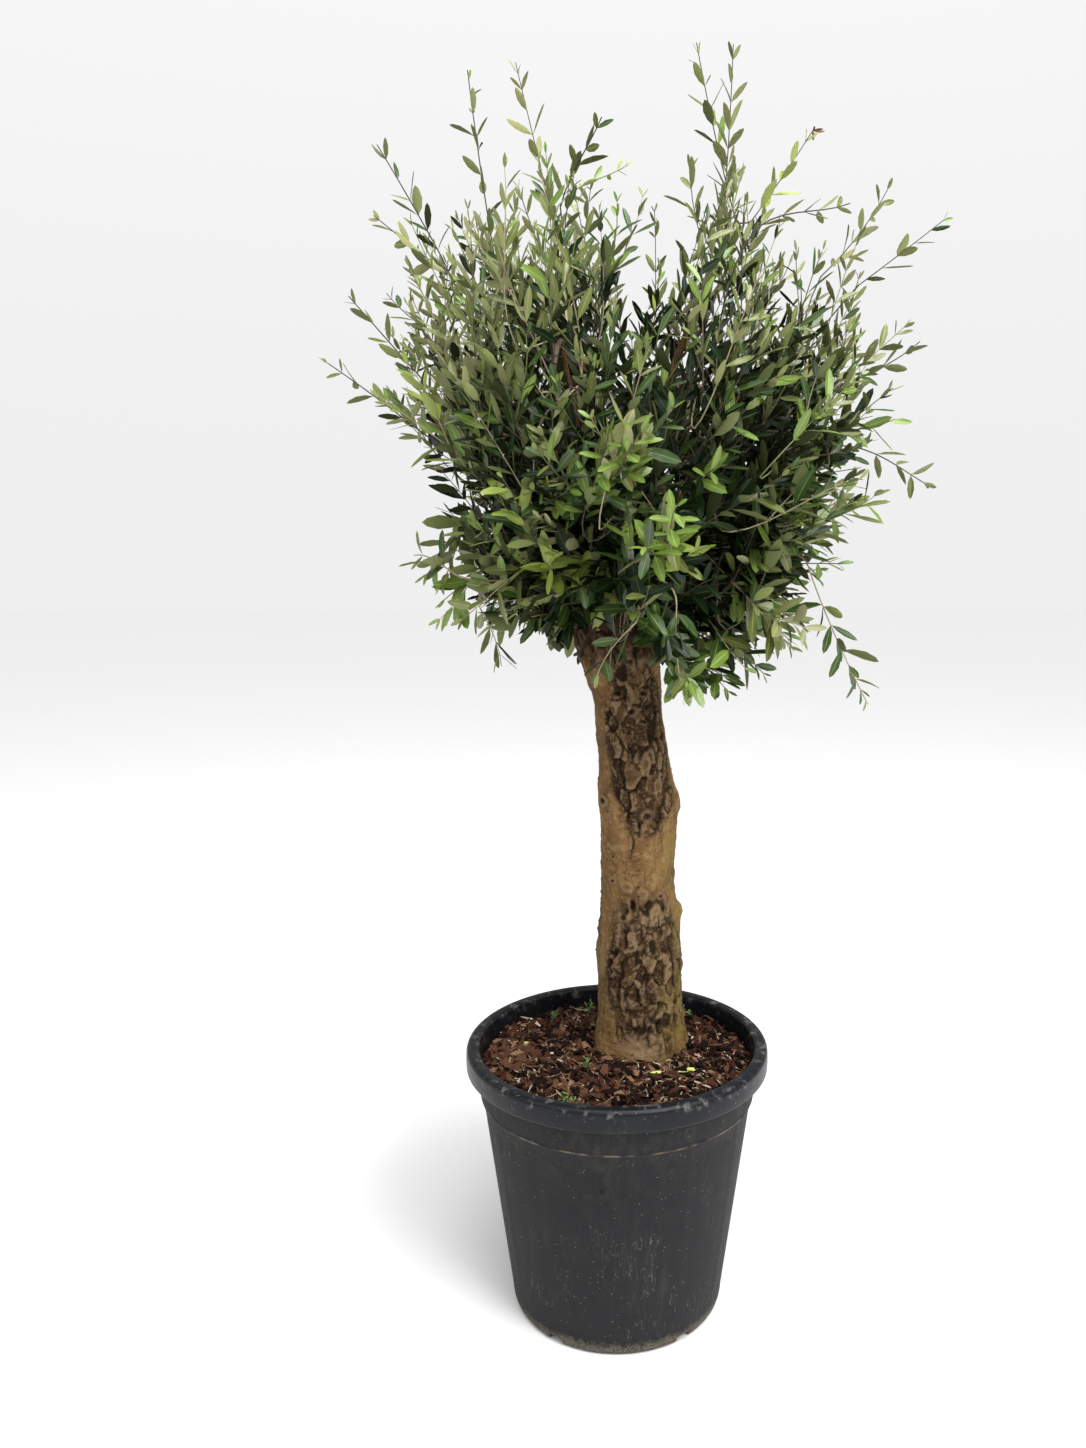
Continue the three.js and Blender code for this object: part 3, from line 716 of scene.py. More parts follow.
for lift, share in ((0.006, 0.80), (0.012, 0.52), (CROWN_OF_HEAD, 0.22)):
    for col, angle in enumerate(angles):
        rim = verts[(TRUNK_UP - 1) * TRUNK_AROUND + col]
        knob = 0.004 * noise.noise(Vector((rim.x, rim.y, lift)) * 60)
        spot = Vector((HEAD.x, HEAD.y, rim.z)).lerp(rim, share)
        verts.append(spot + Vector((0, 0, lift + knob)))
        fields.append(fields[(TRUNK_UP - 1) * TRUNK_AROUND + col])
faces = ring_faces(0, len(verts) // TRUNK_AROUND, TRUNK_AROUND)

# Bark tints: young tan bark, old plated bark, knots, lichen, pale raised places with a painted highlight
# on proud edges, painted shade under the crown, and cracks with painted shade in the hollows.
TAN_DEEP, TAN_LIGHT = (0.112, 0.057, 0.019), (0.250, 0.148, 0.058)
TAN_LINED, TAN_WORN, TAN_STAINED = (0.062, 0.034, 0.015), (0.290, 0.195, 0.103), (0.055, 0.031, 0.014)
OLD_DEEP, OLD_LIGHT = (0.024, 0.0110, 0.0040), (0.092, 0.050, 0.019)
OLD_DULL, OLD_WORN, OLD_FLECKED = (0.046, 0.024, 0.0095), (0.150, 0.083, 0.033), (0.200, 0.130, 0.068)
KNOT_BROWN, LICHEN_YELLOW = (0.105, 0.060, 0.026), (0.190, 0.138, 0.030)
EDGE_PALE_AND_HIGHLIGHT, FLECK_PALE = (0.280, 0.190, 0.107), (0.38, 0.29, 0.18)
PAINTED_SHADE_DARK, CRACK_AND_SHADE_DARK = (0.032, 0.014, 0.007), (0.0125, 0.0060, 0.0026)


def bark_group():
    """Colour and fine relief of olive bark, from the masks that the relief leaves behind."""
    tree = bpy.data.node_groups.new("olive_bark", "ShaderNodeTree")
    for name in ("Rough", "Crack_shade", "Raised", "Plate", "Knotty", "Shaded", "Lichen"):
        tree.interface.new_socket(name, in_out="INPUT", socket_type="NodeSocketFloat")
    tree.interface.new_socket("Color", in_out="OUTPUT", socket_type="NodeSocketColor")
    tree.interface.new_socket("Height", in_out="OUTPUT", socket_type="NodeSocketFloat")
    given = tree.nodes.new("NodeGroupInput").outputs
    made = tree.nodes.new("NodeGroupOutput")
    plain = place(tree)
    broad = cloud(tree, place(tree, (1, 1, 0.6)), 24, 5, 0.6)
    grain = cloud(tree, place(tree, (1, 1, 0.10)), 210, 4, 0.65)
    mottle = cloud(tree, plain, 130, 5, 0.7)
    fine = cloud(tree, plain, 520, 3, 0.6)

    tan = blend(tree, span(tree, broad, 0.30, 0.70), TAN_DEEP, TAN_LIGHT)
    tan = wash(tree, tan, span(tree, grain, 0.52, 0.72), 0.75, TAN_LINED)
    tan = wash(tree, tan, span(tree, mottle, 0.54, 0.68), 0.75, TAN_WORN)
    tan = wash(tree, tan, span(tree, mottle, 0.46, 0.34), 0.80, TAN_STAINED)
    old = blend(tree, span(tree, given["Plate"], -0.6, 0.9), OLD_DEEP, OLD_LIGHT)
    old = blend(tree, span(tree, mottle, 0.40, 0.66), old, OLD_DULL)
    old = wash(tree, old, span(tree, broad, 0.54, 0.72), 0.75, OLD_WORN)
    old = wash(tree, old, span(tree, fine, 0.56, 0.66), 0.55, OLD_FLECKED)
    base = blend(tree, given["Rough"], tan, old)
    base = wash(tree, base, given["Knotty"], 0.55, KNOT_BROWN)
    lichened = times(tree, given["Lichen"], span(tree, broad, 0.36, 0.60))
    base = wash(tree, base, lichened, 0.72, LICHEN_YELLOW)
    # Raised places are lightened: real pale pores, plates and torn wood, with a painted highlight on the
    # edges that stand proud.
    base = wash(tree, base, given["Raised"], 0.66, EDGE_PALE_AND_HIGHLIGHT)
    base = wash(tree, base, span(tree, fine, 0.62, 0.70), 0.55, FLECK_PALE)
    # Painted shade: where the Shaded mask is high, the colour goes most of the way to a dark reddish
    # brown.
    painted_shade = blend(tree, 0.80, base, PAINTED_SHADE_DARK)
    base = blend(tree, given["Shaded"], base, painted_shade)
    # Cracks are darkened, and with them, as painted shade, the hollows and sunken places.
    base = wash(tree, base, span(tree, given["Crack_shade"], 0.10, 1.0), 0.88, CRACK_AND_SHADE_DARK)
    tree.links.new(base, made.inputs["Color"])
    height = maths(tree, "ADD", times(tree, grain, 0.6), mottle)
    height = maths(tree, "ADD", height, times(tree, fine, 0.5))
    tree.links.new(height, made.inputs["Height"])
    return tree


OLIVE_BARK = bark_group()


def field(tree, name):
    return node(tree, "ShaderNodeAttribute", attribute_name=name).outputs["Fac"]


def bark_material(name, shaded, lichen, roughness):
    """Bark coloured from the masks stored on the mesh; the last two masks are made here."""
    material, tree, surface = shader(name)
    inputs = {key.capitalize(): field(tree, key) for key in BARK_FIELDS}
    skin = node(tree, "ShaderNodeGroup", node_tree=OLIVE_BARK)
    for key, socket in inputs.items():
        tree.links.new(socket, skin.inputs[key])
    coords = node(tree, "ShaderNodeSeparateXYZ", {0: place(tree)}).outputs
    tree.links.new(shaded(tree, coords), skin.inputs["Shaded"])
    tree.links.new(lichen(tree, coords), skin.inputs["Lichen"])
    tree.links.new(skin.outputs["Color"], surface.inputs["Base Color"])
    tree.links.new(bump(tree, skin.outputs["Height"], 0.0020, 1.0), surface.inputs["Normal"])
    surface.inputs["Roughness"].default_value = roughness
    surface.inputs["Specular IOR Level"].default_value = 0.12
    return material


def store_fields(piece, values):
    values = np.asarray(values, np.float32)
    for index, key in enumerate(BARK_FIELDS):
        layer = piece.data.attributes.new(key, "FLOAT", "POINT")
        layer.data.foreach_set("value", np.ascontiguousarray(values[:, index]))


def lichen_side(tree, coords):
    """Yellow lichen keeps to the right of the bole, low down."""
    side = span(tree, coords["X"], FOOT_X + 0.012, FOOT_X + 0.045)
    return times(tree, side, span(tree, coords["Z"], 0.80, 0.66))


def crown_shadow_on_head(tree, coords):
    """Painted shade: the head, in the crown's shadow, is darkened to a reddish brown, more toward the
    top.
    """
    return span(tree, coords["Z"], 0.945, 1.02)


bole = joined("trunk_bark", verts, faces, [0] * len(faces),
              [bark_material("trunk_bark", crown_shadow_on_head, lichen_side, 0.78)], 75)
store_fields(bole, fields)
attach(bole, "root")
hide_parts("trunk")

# ---- Boughs --------------------------------------------------------------------------------
# The limbs regrown from the pollarded head, each a few years old. They leave the head in a
# whorl, spread and rise, and are smoother and greyer than the bole.

BOUGH_AROUND = 22
BOUGH_STEPS = 34
SET_IN_HEAD = 0.72
COLLAR = 0.75
boughs = {}
for name, source in sorted(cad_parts.items()):
    if name.startswith("bough_"):
        points = np.array([v.co for v in source.data.vertices])
        heart_of_head = np.array(HEAD) - (0, 0, 0.02)
        order = np.argsort(np.linalg.norm(points - heart_of_head, axis=1))
        parts = np.array_split(points[order], 7)
        centres = [part.mean(0) for part in parts]
        widths = [np.linalg.norm(part - part.mean(0), axis=1).mean() for part in parts]
        foot_width = max(0.009, min(widths[:3]) * 0.74)
        tip_width = max(0.0045, min(widths[-3:]) * 0.55)
        boughs[name[6:]] = (centres[0], centres[3], centres[-1], foot_width, tip_width)


def bough_line(start, bend, end, count):
    """A curve through three points, as evenly spaced steps of its own parameter."""
    t = np.linspace(0, 1, count)[:, None]
    elbow = 2 * bend - (start + end) / 2
    return (1 - t) ** 2 * start + 2 * t * (1 - t) * elbow + t ** 2 * end


verts, faces, fields, tips = [], [], [], {}
ring = np.arange(BOUGH_AROUND) * 2 * math.pi / BOUGH_AROUND
for name, (start, bend, end, foot_width, tip_width) in boughs.items():
    pith = np.array((HEAD.x, HEAD.y, start[2] - 0.030))
    path = bough_line(start + (pith - start) * SET_IN_HEAD, bend, end, BOUGH_STEPS)
    swell = 1 + COLLAR * np.exp(-np.linspace(0, 1, BOUGH_STEPS) / 0.16)
    widths = np.linspace(foot_width, tip_width, BOUGH_STEPS) * swell
    along, sides, ups = carried_frames(path)
    tips[name] = (Vector(path[-1]), Vector(along[-1]), tip_width)
    faces += ring_faces(len(verts), BOUGH_STEPS, BOUGH_AROUND)
    for centre, side, up, width in zip(path, sides, ups, widths):
        for angle in ring:
            out = Vector(side * math.cos(angle) + up * math.sin(angle))
            spot = Vector(centre) + out * width
            gaps, seeds = noise.voronoi(Vector((spot.x, spot.y, spot.z * 0.6)) * 95)
            gap = smooth(gaps[1] - gaps[0], 0.16, 0.0)
            knob = noise.noise(spot * 40)
            verts.append(spot + out * (0.0016 * knob - 0.0007 * gap))
            fields.append((0.35, 0.7 * gap, 0.2 * smooth(knob, 0.2, 0.6), noise.cell(seeds[0] * 7.7), 0))


def bough_shade(tree, coords):
    """Boughs are darkened all along, a little less toward their ends."""
    return span(tree, coords["Z"], 0.5, 1.6, 0.70, 0.55)


def bough_lichen(tree, coords):
    return span(tree, cloud(tree, place(tree), 16, 2), 0.60, 0.75)


limbs = joined("boughs", verts, faces, [0] * len(faces),
               [bark_material("bough_bark", bough_shade, bough_lichen, 0.8)], 75)
store_fields(limbs, fields)
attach(limbs, "root")
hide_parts(*("bough_" + name for name in boughs))

# ---- Crown wood ----------------------------------------------------------------------------
# Branches fork again and again from the end of each bough toward the rim of its foliage mass,
# thinning by the pipe rule, and end in straight leafy twigs. Long shoots stand out at the rim.

CROWN_HEART = Vector((0.030, 0.008, 1.300))
FAN_SPRINGS_FROM = Vector((0.010, 0.005, 1.040))
NOTCH_X = 0.055
NOTCH_FLOOR = 1.515
THINS_ABOVE = 1.44
TWIGS_PER_MASS = 38
INNER_TWIGS_PER_MASS = 9
TWIG_RADIUS = 0.00085
TWIG_FOOT_RADIUS = TWIG_RADIUS * 1.15
TWIG_TIP_RADIUS = 0.00055
SHOOT_TIP_RADIUS = 0.0007
THICKEST_TWIG = 0.0022
HUNG_FOOT_RADIUS = 0.0026
PIPE_POWER = 2.35
rng = random.Random(20)


def tint_wood(name, colour):
    return tinted(name, colour, 0.75, 0.35)


WOOD_TINTS = [
    tint_wood("wood_grey_brown", (0.115, 0.088, 0.060)),
    tint_wood("wood_pale", (0.330, 0.265, 0.165)),
    tint_wood("wood_dark", (0.060, 0.046, 0.034)),
    tint_wood("wood_green", (0.165, 0.190, 0.070)),
]
GREY_WOOD, PALE_WOOD, DARK_WOOD, GREEN_WOOD = range(4)


def random_way(amount):
    return Vector((rng.gauss(0, amount), rng.gauss(0, amount), rng.gauss(0, amount)))


def easy_curve(start, way, end, heading, count, wander=0.0):
    """A curve that leaves and arrives along the given ways, with a little wander between."""
    reach = (end - start).length
    chord = (end - start).normalized()
    first = (way.normalized() * 0.55 + chord * 0.45) * reach
    last = (heading.normalized() * 0.65 + chord * 0.35) * reach
    drift = random_way(wander * reach)
    points = []
    for i in range(count):
        t = i / (count - 1)
        a, b = 2 * t ** 3 - 3 * t ** 2 + 1, t ** 3 - 2 * t ** 2 + t
        c, d = 3 * t ** 2 - 2 * t ** 3, t ** 3 - t ** 2
        points.append(start * a + first * b + end * c + last * d + drift * math.sin(math.pi * t))
    return points


def pipe_radius(twigs):
    return TWIG_RADIUS * 1.35 * twigs ** (1 / PIPE_POWER)


def split_in_two(targets):
    """Parts the twigs ahead of a fork into the two sides they lean to."""
    spots = [np.array(t["base"]) for t in targets]
    first = spots[rng.randrange(len(spots))]
    a = max(spots, key=lambda s: np.linalg.norm(s - first))
    b = max(spots, key=lambda s: np.linalg.norm(s - a))
    for _ in range(3):
        near = [np.linalg.norm(s - a) <= np.linalg.norm(s - b) for s in spots]
        a = np.mean([s for s, n in zip(spots, near) if n], axis=0)
        b = np.mean([s for s, n in zip(spots, near) if not n] or [b], axis=0)
    ours = [t for t, n in zip(targets, near) if n]
    others = [t for t, n in zip(targets, near) if not n]
    if not ours or not others:
        return targets[::2], targets[1::2]
    return ours, others


def fork(start, way, radius, targets):
    """Grows a branch from a point toward the twigs it feeds, forking on the way."""
    if len(targets) == 1:
        twig = targets[0]
        ahead = twig["line"]
        arriving = (ahead[0] - start).normalized()
        if arriving.dot((ahead[1] - ahead[0]).normalized()) < 0.6:
            tip, leaving = ahead[-1], ahead[-1] - ahead[-2]
            onward = arriving + (tip - ahead[0]).normalized() * 0.6
            ahead = easy_curve(ahead[0], onward, tip, leaving, len(ahead))
        twig["line"] = ahead
        count = max(5, int((ahead[0] - start).length / 0.020))
        line = easy_curve(start, way, ahead[0], ahead[1] - ahead[0], count, 0.03)
        radii = np.linspace(min(radius, THICKEST_TWIG), TWIG_FOOT_RADIUS, len(line))
        stems.append((line, radii, twig["bare"]))
        return
    middle = sum((t["base"] for t in targets), Vector()) / len(targets)
    node_spot = start.lerp(middle, rng.uniform(0.34, 0.50)) + random_way(0.006)
    heading = (middle - start).normalized() * 0.7 + way.normalized() * 0.3
    end_radius = min(radius, pipe_radius(len(targets)))
    count = max(4, int((node_spot - start).length / 0.016))
    line = easy_curve(start, way, node_spot, heading, count, 0.05)
    stems.append((line, np.linspace(radius, end_radius, len(line)), GREY_WOOD))
    for part in split_in_two(targets):
        aim = sum((t["base"] for t in part), Vector()) / len(part) - node_spot
        turned = heading * 0.45 + aim.normalized() * 0.8
        fork(node_spot, turned, min(end_radius, pipe_radius(len(part))), part)


def new_twig(tip, way, length, kind, wood):
    """A leafy twig that ends at its tip; its base is where the branch must reach it."""
    way = way.normalized()
    sag = random_way(0.06 * length)
    base = tip - way * length + sag
    leaving = (tip - base).normalized() - sag / length
    line = easy_curve(base, leaving, tip, way + sag / length, max(5, int(length / 0.022)))
    return {"base": base, "way": leaving, "line": line, "kind": kind, "bare": wood}


def in_crown(tip):
    """True where a leafy tip keeps within the tree's own spread."""
    low, high = cad_box
    return all(low[i] < tip[i] < high[i] for i in range(2)) and tip.z < high[2] - 0.04


def in_gap(tip):
    """True for a tip left out where the crown is open; the edges of each gap stay loose."""
    if abs(tip.x - NOTCH_X) < 0.060 and tip.z > NOTCH_FLOOR and rng.random() < 0.85:
        return True
    if tip.z < 1.16 and abs(tip.x - 0.01) < 0.10 and tip.y < 0 and rng.random() < 0.8:
        return True
    if tip.z < 1.09 and tip.x < 0.03 and math.hypot(tip.x, tip.y) < 0.19 and rng.random() < 0.85:
        return True
    if tip.z < 1.30 and tip.x < -0.185 - 0.35 * (tip.z - 1.03) and rng.random() < 0.85:
        return True
    left_out = 0.06
    if tip.z > THINS_ABOVE:
        left_out = 0.62 if tip.x > 0 else 0.42
    return rng.random() < left_out


def side_shoot(twig):
    """A shorter shoot that springs from a leaf joint part way up a twig."""
    at = rng.randint(1, max(1, len(twig["line"]) // 2))
    start = twig["line"][at]
    along = (twig["line"][at + 1] - start).normalized()
    across = along.cross(random_way(1.0)).normalized()
    way = along * 0.8 + across * 0.6
    length = rng.uniform(0.07, 0.13)
    tip = start + (along * 0.85 + across * 0.42).normalized() * length + Vector((0, 0, 0.06 * length))
    line = easy_curve(start, way, tip, along, 6)
    return {"base": start, "way": way, "line": line, "kind": twig["kind"], "bare": twig["bare"]}


# Each mass is fed by its own bough; the low ones share the spreading boughs above them.
stems, twigs_of = [], {}
crown_masses = {name[8:]: source for name, source in sorted(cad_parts.items())
                if name.startswith("foliage_")}
centres = {name: sum(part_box("foliage_" + name), Vector()) / 2 for name in crown_masses}
for name, source in crown_masses.items():
    hull = surface_tree(source.data)
    centre = centres[name]
    tier = name.split("_")[0]
    outward = (centre - CROWN_HEART).normalized()
    twigs = []
    for i in range(TWIGS_PER_MASS):
        level = 1 - 2 * (i + rng.uniform(0.1, 0.9)) / TWIGS_PER_MASS
        angle = i * math.pi * (3 - math.sqrt(5)) + rng.uniform(-0.4, 0.4)
        ring_size = math.sqrt(max(0.0, 1 - level * level))
        out = Vector((ring_size * math.cos(angle), ring_size * math.sin(angle), level))
        facing = out.dot(outward)
        if facing < -0.25 and rng.random() < 0.62:
            continue
        edge = hull.ray_cast(centre, out)[3]
        rising = out.z > 0.15 and tier in ("top", "upper")
        share = rng.uniform(0.90, 1.32) if rising else rng.uniform(0.84, 1.10)
        tip = centre + out * edge * share
        if not in_crown(tip) or in_gap(tip):
            continue
        fan = (tip - FAN_SPRINGS_FROM).normalized()
        if tier == "low":
            way, length = fan + Vector((0, 0, -0.12)) + random_way(0.22), rng.uniform(0.13, 0.21)
        elif rising:
            way, length = fan * 0.8 + Vector((0, 0, 0.38)) + random_way(0.13), rng.uniform(0.18, 0.29)
        else:
            way, length = fan + Vector((0, 0, 0.12)) + random_way(0.20), rng.uniform(0.15, 0.24)
        wood = rng.choices((GREY_WOOD, PALE_WOOD, DARK_WOOD, GREEN_WOOD), (5, 3, 2, 3))[0]
        twigs.append(new_twig(tip, way, length, "low" if tier == "low" else "plain", wood))
    for _ in range(INNER_TWIGS_PER_MASS):
        out = random_way(1.0).normalized()
        edge = hull.ray_cast(centre, out)[3]
        tip = centre + out * edge * rng.uniform(0.35, 0.75)
        if tip.z < 1.42 and (math.hypot(tip.x, tip.y) > 0.08 or tip.z > 1.2):
            way = (tip - FAN_SPRINGS_FROM).normalized() + random_way(0.35)
            twigs.append(new_twig(tip, way, rng.uniform(0.08, 0.14), "inner", GREY_WOOD))
    twigs_of[name] = twigs

# Sprays that hang under the crown round the head, each from the nearest low mass.
HANGING_TIPS = (
    (0.065, -0.175, 0.985), (0.105, -0.150, 0.950), (0.145, -0.140, 0.945), (0.195, -0.115, 0.965),
    (0.235, -0.095, 1.005), (0.165, -0.020, 0.980), (0.225, -0.150, 1.000), (-0.235, -0.080, 1.060),
    (-0.265, -0.050, 1.090), (-0.205, -0.130, 1.035), (0.050, 0.180, 0.985), (-0.100, 0.170, 1.000),
    (0.200, 0.100, 0.980), (-0.190, 0.090, 1.010), (0.130, 0.190, 1.000),
)
low_masses = [name for name in twigs_of if name.startswith("low")]
for spot in HANGING_TIPS:
    tip = Vector(spot)
    name = min(low_masses, key=lambda low: (centres[low] - tip).length)
    flat = Vector((tip.x - HEAD.x, tip.y - HEAD.y, 0)).normalized()
    way = flat * 0.62 + Vector((0, 0, -0.50)) + random_way(0.10)
    twigs_of[name].append(new_twig(tip, way, rng.uniform(0.12, 0.17), "low", PALE_WOOD))

# Long shoots: the mass each one grows from, and whether it stands, droops or has withered.
SHOOTS = {
    "tall_left": ("upper_left", "tall"), "tall_centre_left": ("top_left", "tall"),
    "inner_left": ("top_left", "tall"), "high_left": ("upper_left", "tall"),
    "back_left": ("upper_left", "tall"), "side_left": ("middle_front_left", "tall"),
    "far_left": ("middle_front_left", "tall"), "hanging_left": ("low_left", "drooping"),
    "low_left": ("low_left", "drooping"), "tall_right": ("top_right", "tall"),
    "tall_front_right": ("top_right", "tall"), "withered_tip": ("top_right", "withered"),
    "high_right": ("upper_front_right", "tall"), "upright_right": ("upper_right", "tall"),
    "far_right": ("upper_right", "tall"), "side_right": ("middle_front_right", "tall"),
    "low_right": ("middle_front_right", "tall"), "drooping_right": ("low_right", "drooping"),
    "hanging_right": ("low_front", "drooping"), "trunk_front": ("low_front", "drooping"),
    "rising_front": ("upper_front_left", "young"), "rising_back": ("upper_back_left", "tall"),
    "far_back": ("middle_back", "tall"), "hanging_back": ("low_back_right", "drooping"),
}
SHOOT_WOOD = {"tall": DARK_WOOD, "withered": DARK_WOOD, "drooping": PALE_WOOD, "young": GREEN_WOOD}
for name, (mass, kind) in SHOOTS.items():
    points = np.array([v.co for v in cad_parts["shoot_" + name].data.vertices])
    tip = points[np.argmax(np.linalg.norm(points - np.array(centres[mass]), axis=1))]
    order = np.argsort(np.linalg.norm(points - tip, axis=1))
    middles = [Vector(part.mean(0)) for part in np.array_split(points[order], 4)]
    tip, bend, root = Vector(tip), middles[1], middles[-1]
    start = root + (root - bend).normalized() * 0.035
    line = easy_curve(start, bend - start, tip, tip - bend, max(8, int((tip - start).length / 0.022)))
    wood = SHOOT_WOOD[kind]
    twigs_of[mass].append({"base": start, "way": bend - start, "line": line, "kind": kind, "bare": wood})

for name, twigs in twigs_of.items():
    near = min(tips, key=lambda bough: (tips[bough][0] - centres[name]).length)
    if name in tips:
        near = name
    start, way, width = tips[near]
    if name not in tips:
        way = (centres[name] - start).normalized() + Vector((0, 0, 0.2))
        width = pipe_radius(len(twigs))
        start = start - tips[near][1] * 0.03
    hung = [twig for twig in twigs if twig["kind"] == "drooping"]
    reached = [twig for twig in twigs if twig["kind"] != "drooping"]
    fork(start, way, min(width, 1.3 * pipe_radius(len(twigs))), reached)
    for twig in hung:
        flat = Vector((twig["base"].x - HEAD.x, twig["base"].y - HEAD.y, 0)).normalized()
        root = HEAD + flat * 0.026 + Vector((0, 0, -0.012))
        line = easy_curve(root, flat * 0.7 + Vector((0, 0, 0.8)), twig["base"], twig["way"], 12, 0.02)
        stems.append((line, np.linspace(HUNG_FOOT_RADIUS, TWIG_FOOT_RADIUS, len(line)), twig["bare"]))
    sides = []
    for twig in twigs:
        if twig["kind"] in ("plain", "low") and rng.random() < 0.85:
            shoot = side_shoot(twig)
            if in_crown(shoot["line"][-1]):
                sides.append(shoot)
    twigs += sides
    for twig in twigs:
        thin = TWIG_TIP_RADIUS if twig["kind"] in ("plain", "young", "inner") else SHOOT_TIP_RADIUS
        radii = np.linspace(TWIG_FOOT_RADIUS, thin, len(twig["line"]))
        stems.append((twig["line"], radii, twig["bare"]))


THIN_UNDER = 0.0023
verts, faces, kinds = tubes([s for s in stems if max(s[1]) < THIN_UNDER], 4)
thin_wood = joined("crown_twigs", verts, faces, kinds, WOOD_TINTS)
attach(thin_wood, "root")
verts, faces, kinds = tubes([s for s in stems if max(s[1]) >= THIN_UNDER], 8)
thick_wood = joined("crown_branches", verts, faces, kinds, WOOD_TINTS)
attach(thick_wood, "root")

# ---- Leaves --------------------------------------------------------------------------------
# Narrow leathery olive leaves in opposite pairs, each pair square to the last: glossy green
# above with a pale midrib, dull silvery khaki below. The newest are small and yellow-green.

LEAF_STATIONS = ((0.07, 0.13), (0.28, 0.78), (0.60, 1.00), (0.88, 0.58))
LEAF_THICKNESS = 0.010
MIDRIB_SHARE = 0.075


def leaf_shape(aspect, fold, droop, sweep, twist):
    """A closed thin leaf of unit length along X: blade above, midrib strip, and underside."""
    verts, faces, kinds = [(0, 0, 0)], [], []
    for t, share in LEAF_STATIONS:
        half = aspect * share / 2
        rise = -droop * t * t
        roll = twist * t
        for across, lift in ((-half, fold * half), (-half * MIDRIB_SHARE, 0),
                             (half * MIDRIB_SHARE, 0), (half, fold * half), (0, -LEAF_THICKNESS)):
            y = across * math.cos(roll) - lift * math.sin(roll)
            z = across * math.sin(roll) + lift * math.cos(roll)
            verts.append((t, y + sweep * t * t, z + rise))
    verts.append((1.0, sweep, -droop))
    last = len(verts) - 1

    def add(a, b, c, kind):
        faces.append((a, b, c))
        kinds.append(kind)

    BLADE, RIB, BELOW = range(3)
    strips = ((0, 1, BLADE), (1, 2, RIB), (2, 3, BLADE), (3, 4, BELOW), (4, 0, BELOW))
    for a, b, kind in strips:
        add(0, 1 + b, 1 + a, kind)
        add(last, last - 5 + a, last - 5 + b, kind)
        for row in range(len(LEAF_STATIONS) - 1):
            low, high = 1 + row * 5, 6 + row * 5
            if kind == BELOW:
                add(low + a, low + b, high + a, kind)
                add(low + b, high + b, high + a, kind)
            else:
                add(low + a, low + b, high + b, kind)
                add(low + a, high + b, high + a, kind)
    return np.array(verts), np.array(faces), np.array(kinds)


rng = random.Random(5)
SHAPE_COUNT = 12
LEAF_SHAPES = []
for aspect in np.linspace(0.225, 0.330, SHAPE_COUNT):
    fold, droop = rng.uniform(0.05, 0.42), rng.uniform(-0.07, 0.15)
    sweep, twist = rng.uniform(-0.07, 0.07), rng.uniform(-0.5, 0.5)
    LEAF_SHAPES.append(leaf_shape(aspect, fold, droop, sweep, twist))

# Tints of the blade from deepest to newest, each with its own midrib and underside; the deepest serves as
# painted shade inside the crown and round the head.
LEAF_TINTS = (
    ("deep", (0.0052, 0.0150, 0.0027), (0.035, 0.054, 0.012), (0.027, 0.035, 0.011)),
    ("green", (0.029, 0.063, 0.009), (0.150, 0.200, 0.055), (0.125, 0.148, 0.055)),
    ("fresh", (0.140, 0.220, 0.034), (0.310, 0.390, 0.110), (0.240, 0.285, 0.098)),
    ("olive", (0.124, 0.150, 0.034), (0.300, 0.310, 0.108), (0.245, 0.256, 0.108)),
    ("khaki", (0.205, 0.225, 0.085), (0.360, 0.360, 0.165), (0.300, 0.305, 0.160)),
    ("young", (0.250, 0.325, 0.055), (0.380, 0.440, 0.120), (0.290, 0.340, 0.100)),
    ("withered", (0.130, 0.062, 0.040), (0.170, 0.090, 0.060), (0.150, 0.080, 0.055)),
)
DEEP_SHADE, GREEN, FRESH, OLIVE, KHAKI, YOUNG, WITHERED = range(7)
leaf_materials = []
for name, blade, rib, below in LEAF_TINTS:
    leaf_materials.append(tinted("leaf_" + name, blade, 0.33, 0.2 if name == "deep" else 0.5))
    leaf_materials.append(tinted("midrib_" + name, rib, 0.55, 0.4))
    leaf_materials.append(tinted("underside_" + name, below, 0.8, 0.12))

# Spots in the crown where the newest yellow-green sprays have broken.
YOUNG_SPOTS = [Vector(s) for s in (
    (-0.094, -0.200, 1.222), (0.085, -0.250, 1.275), (0.078, -0.200, 1.138), (-0.073, -0.150, 1.114),
    (0.029, -0.100, 1.444), (0.300, 0.100, 1.300), (-0.200, 0.150, 1.400), (0.100, 0.300, 1.200),
)]


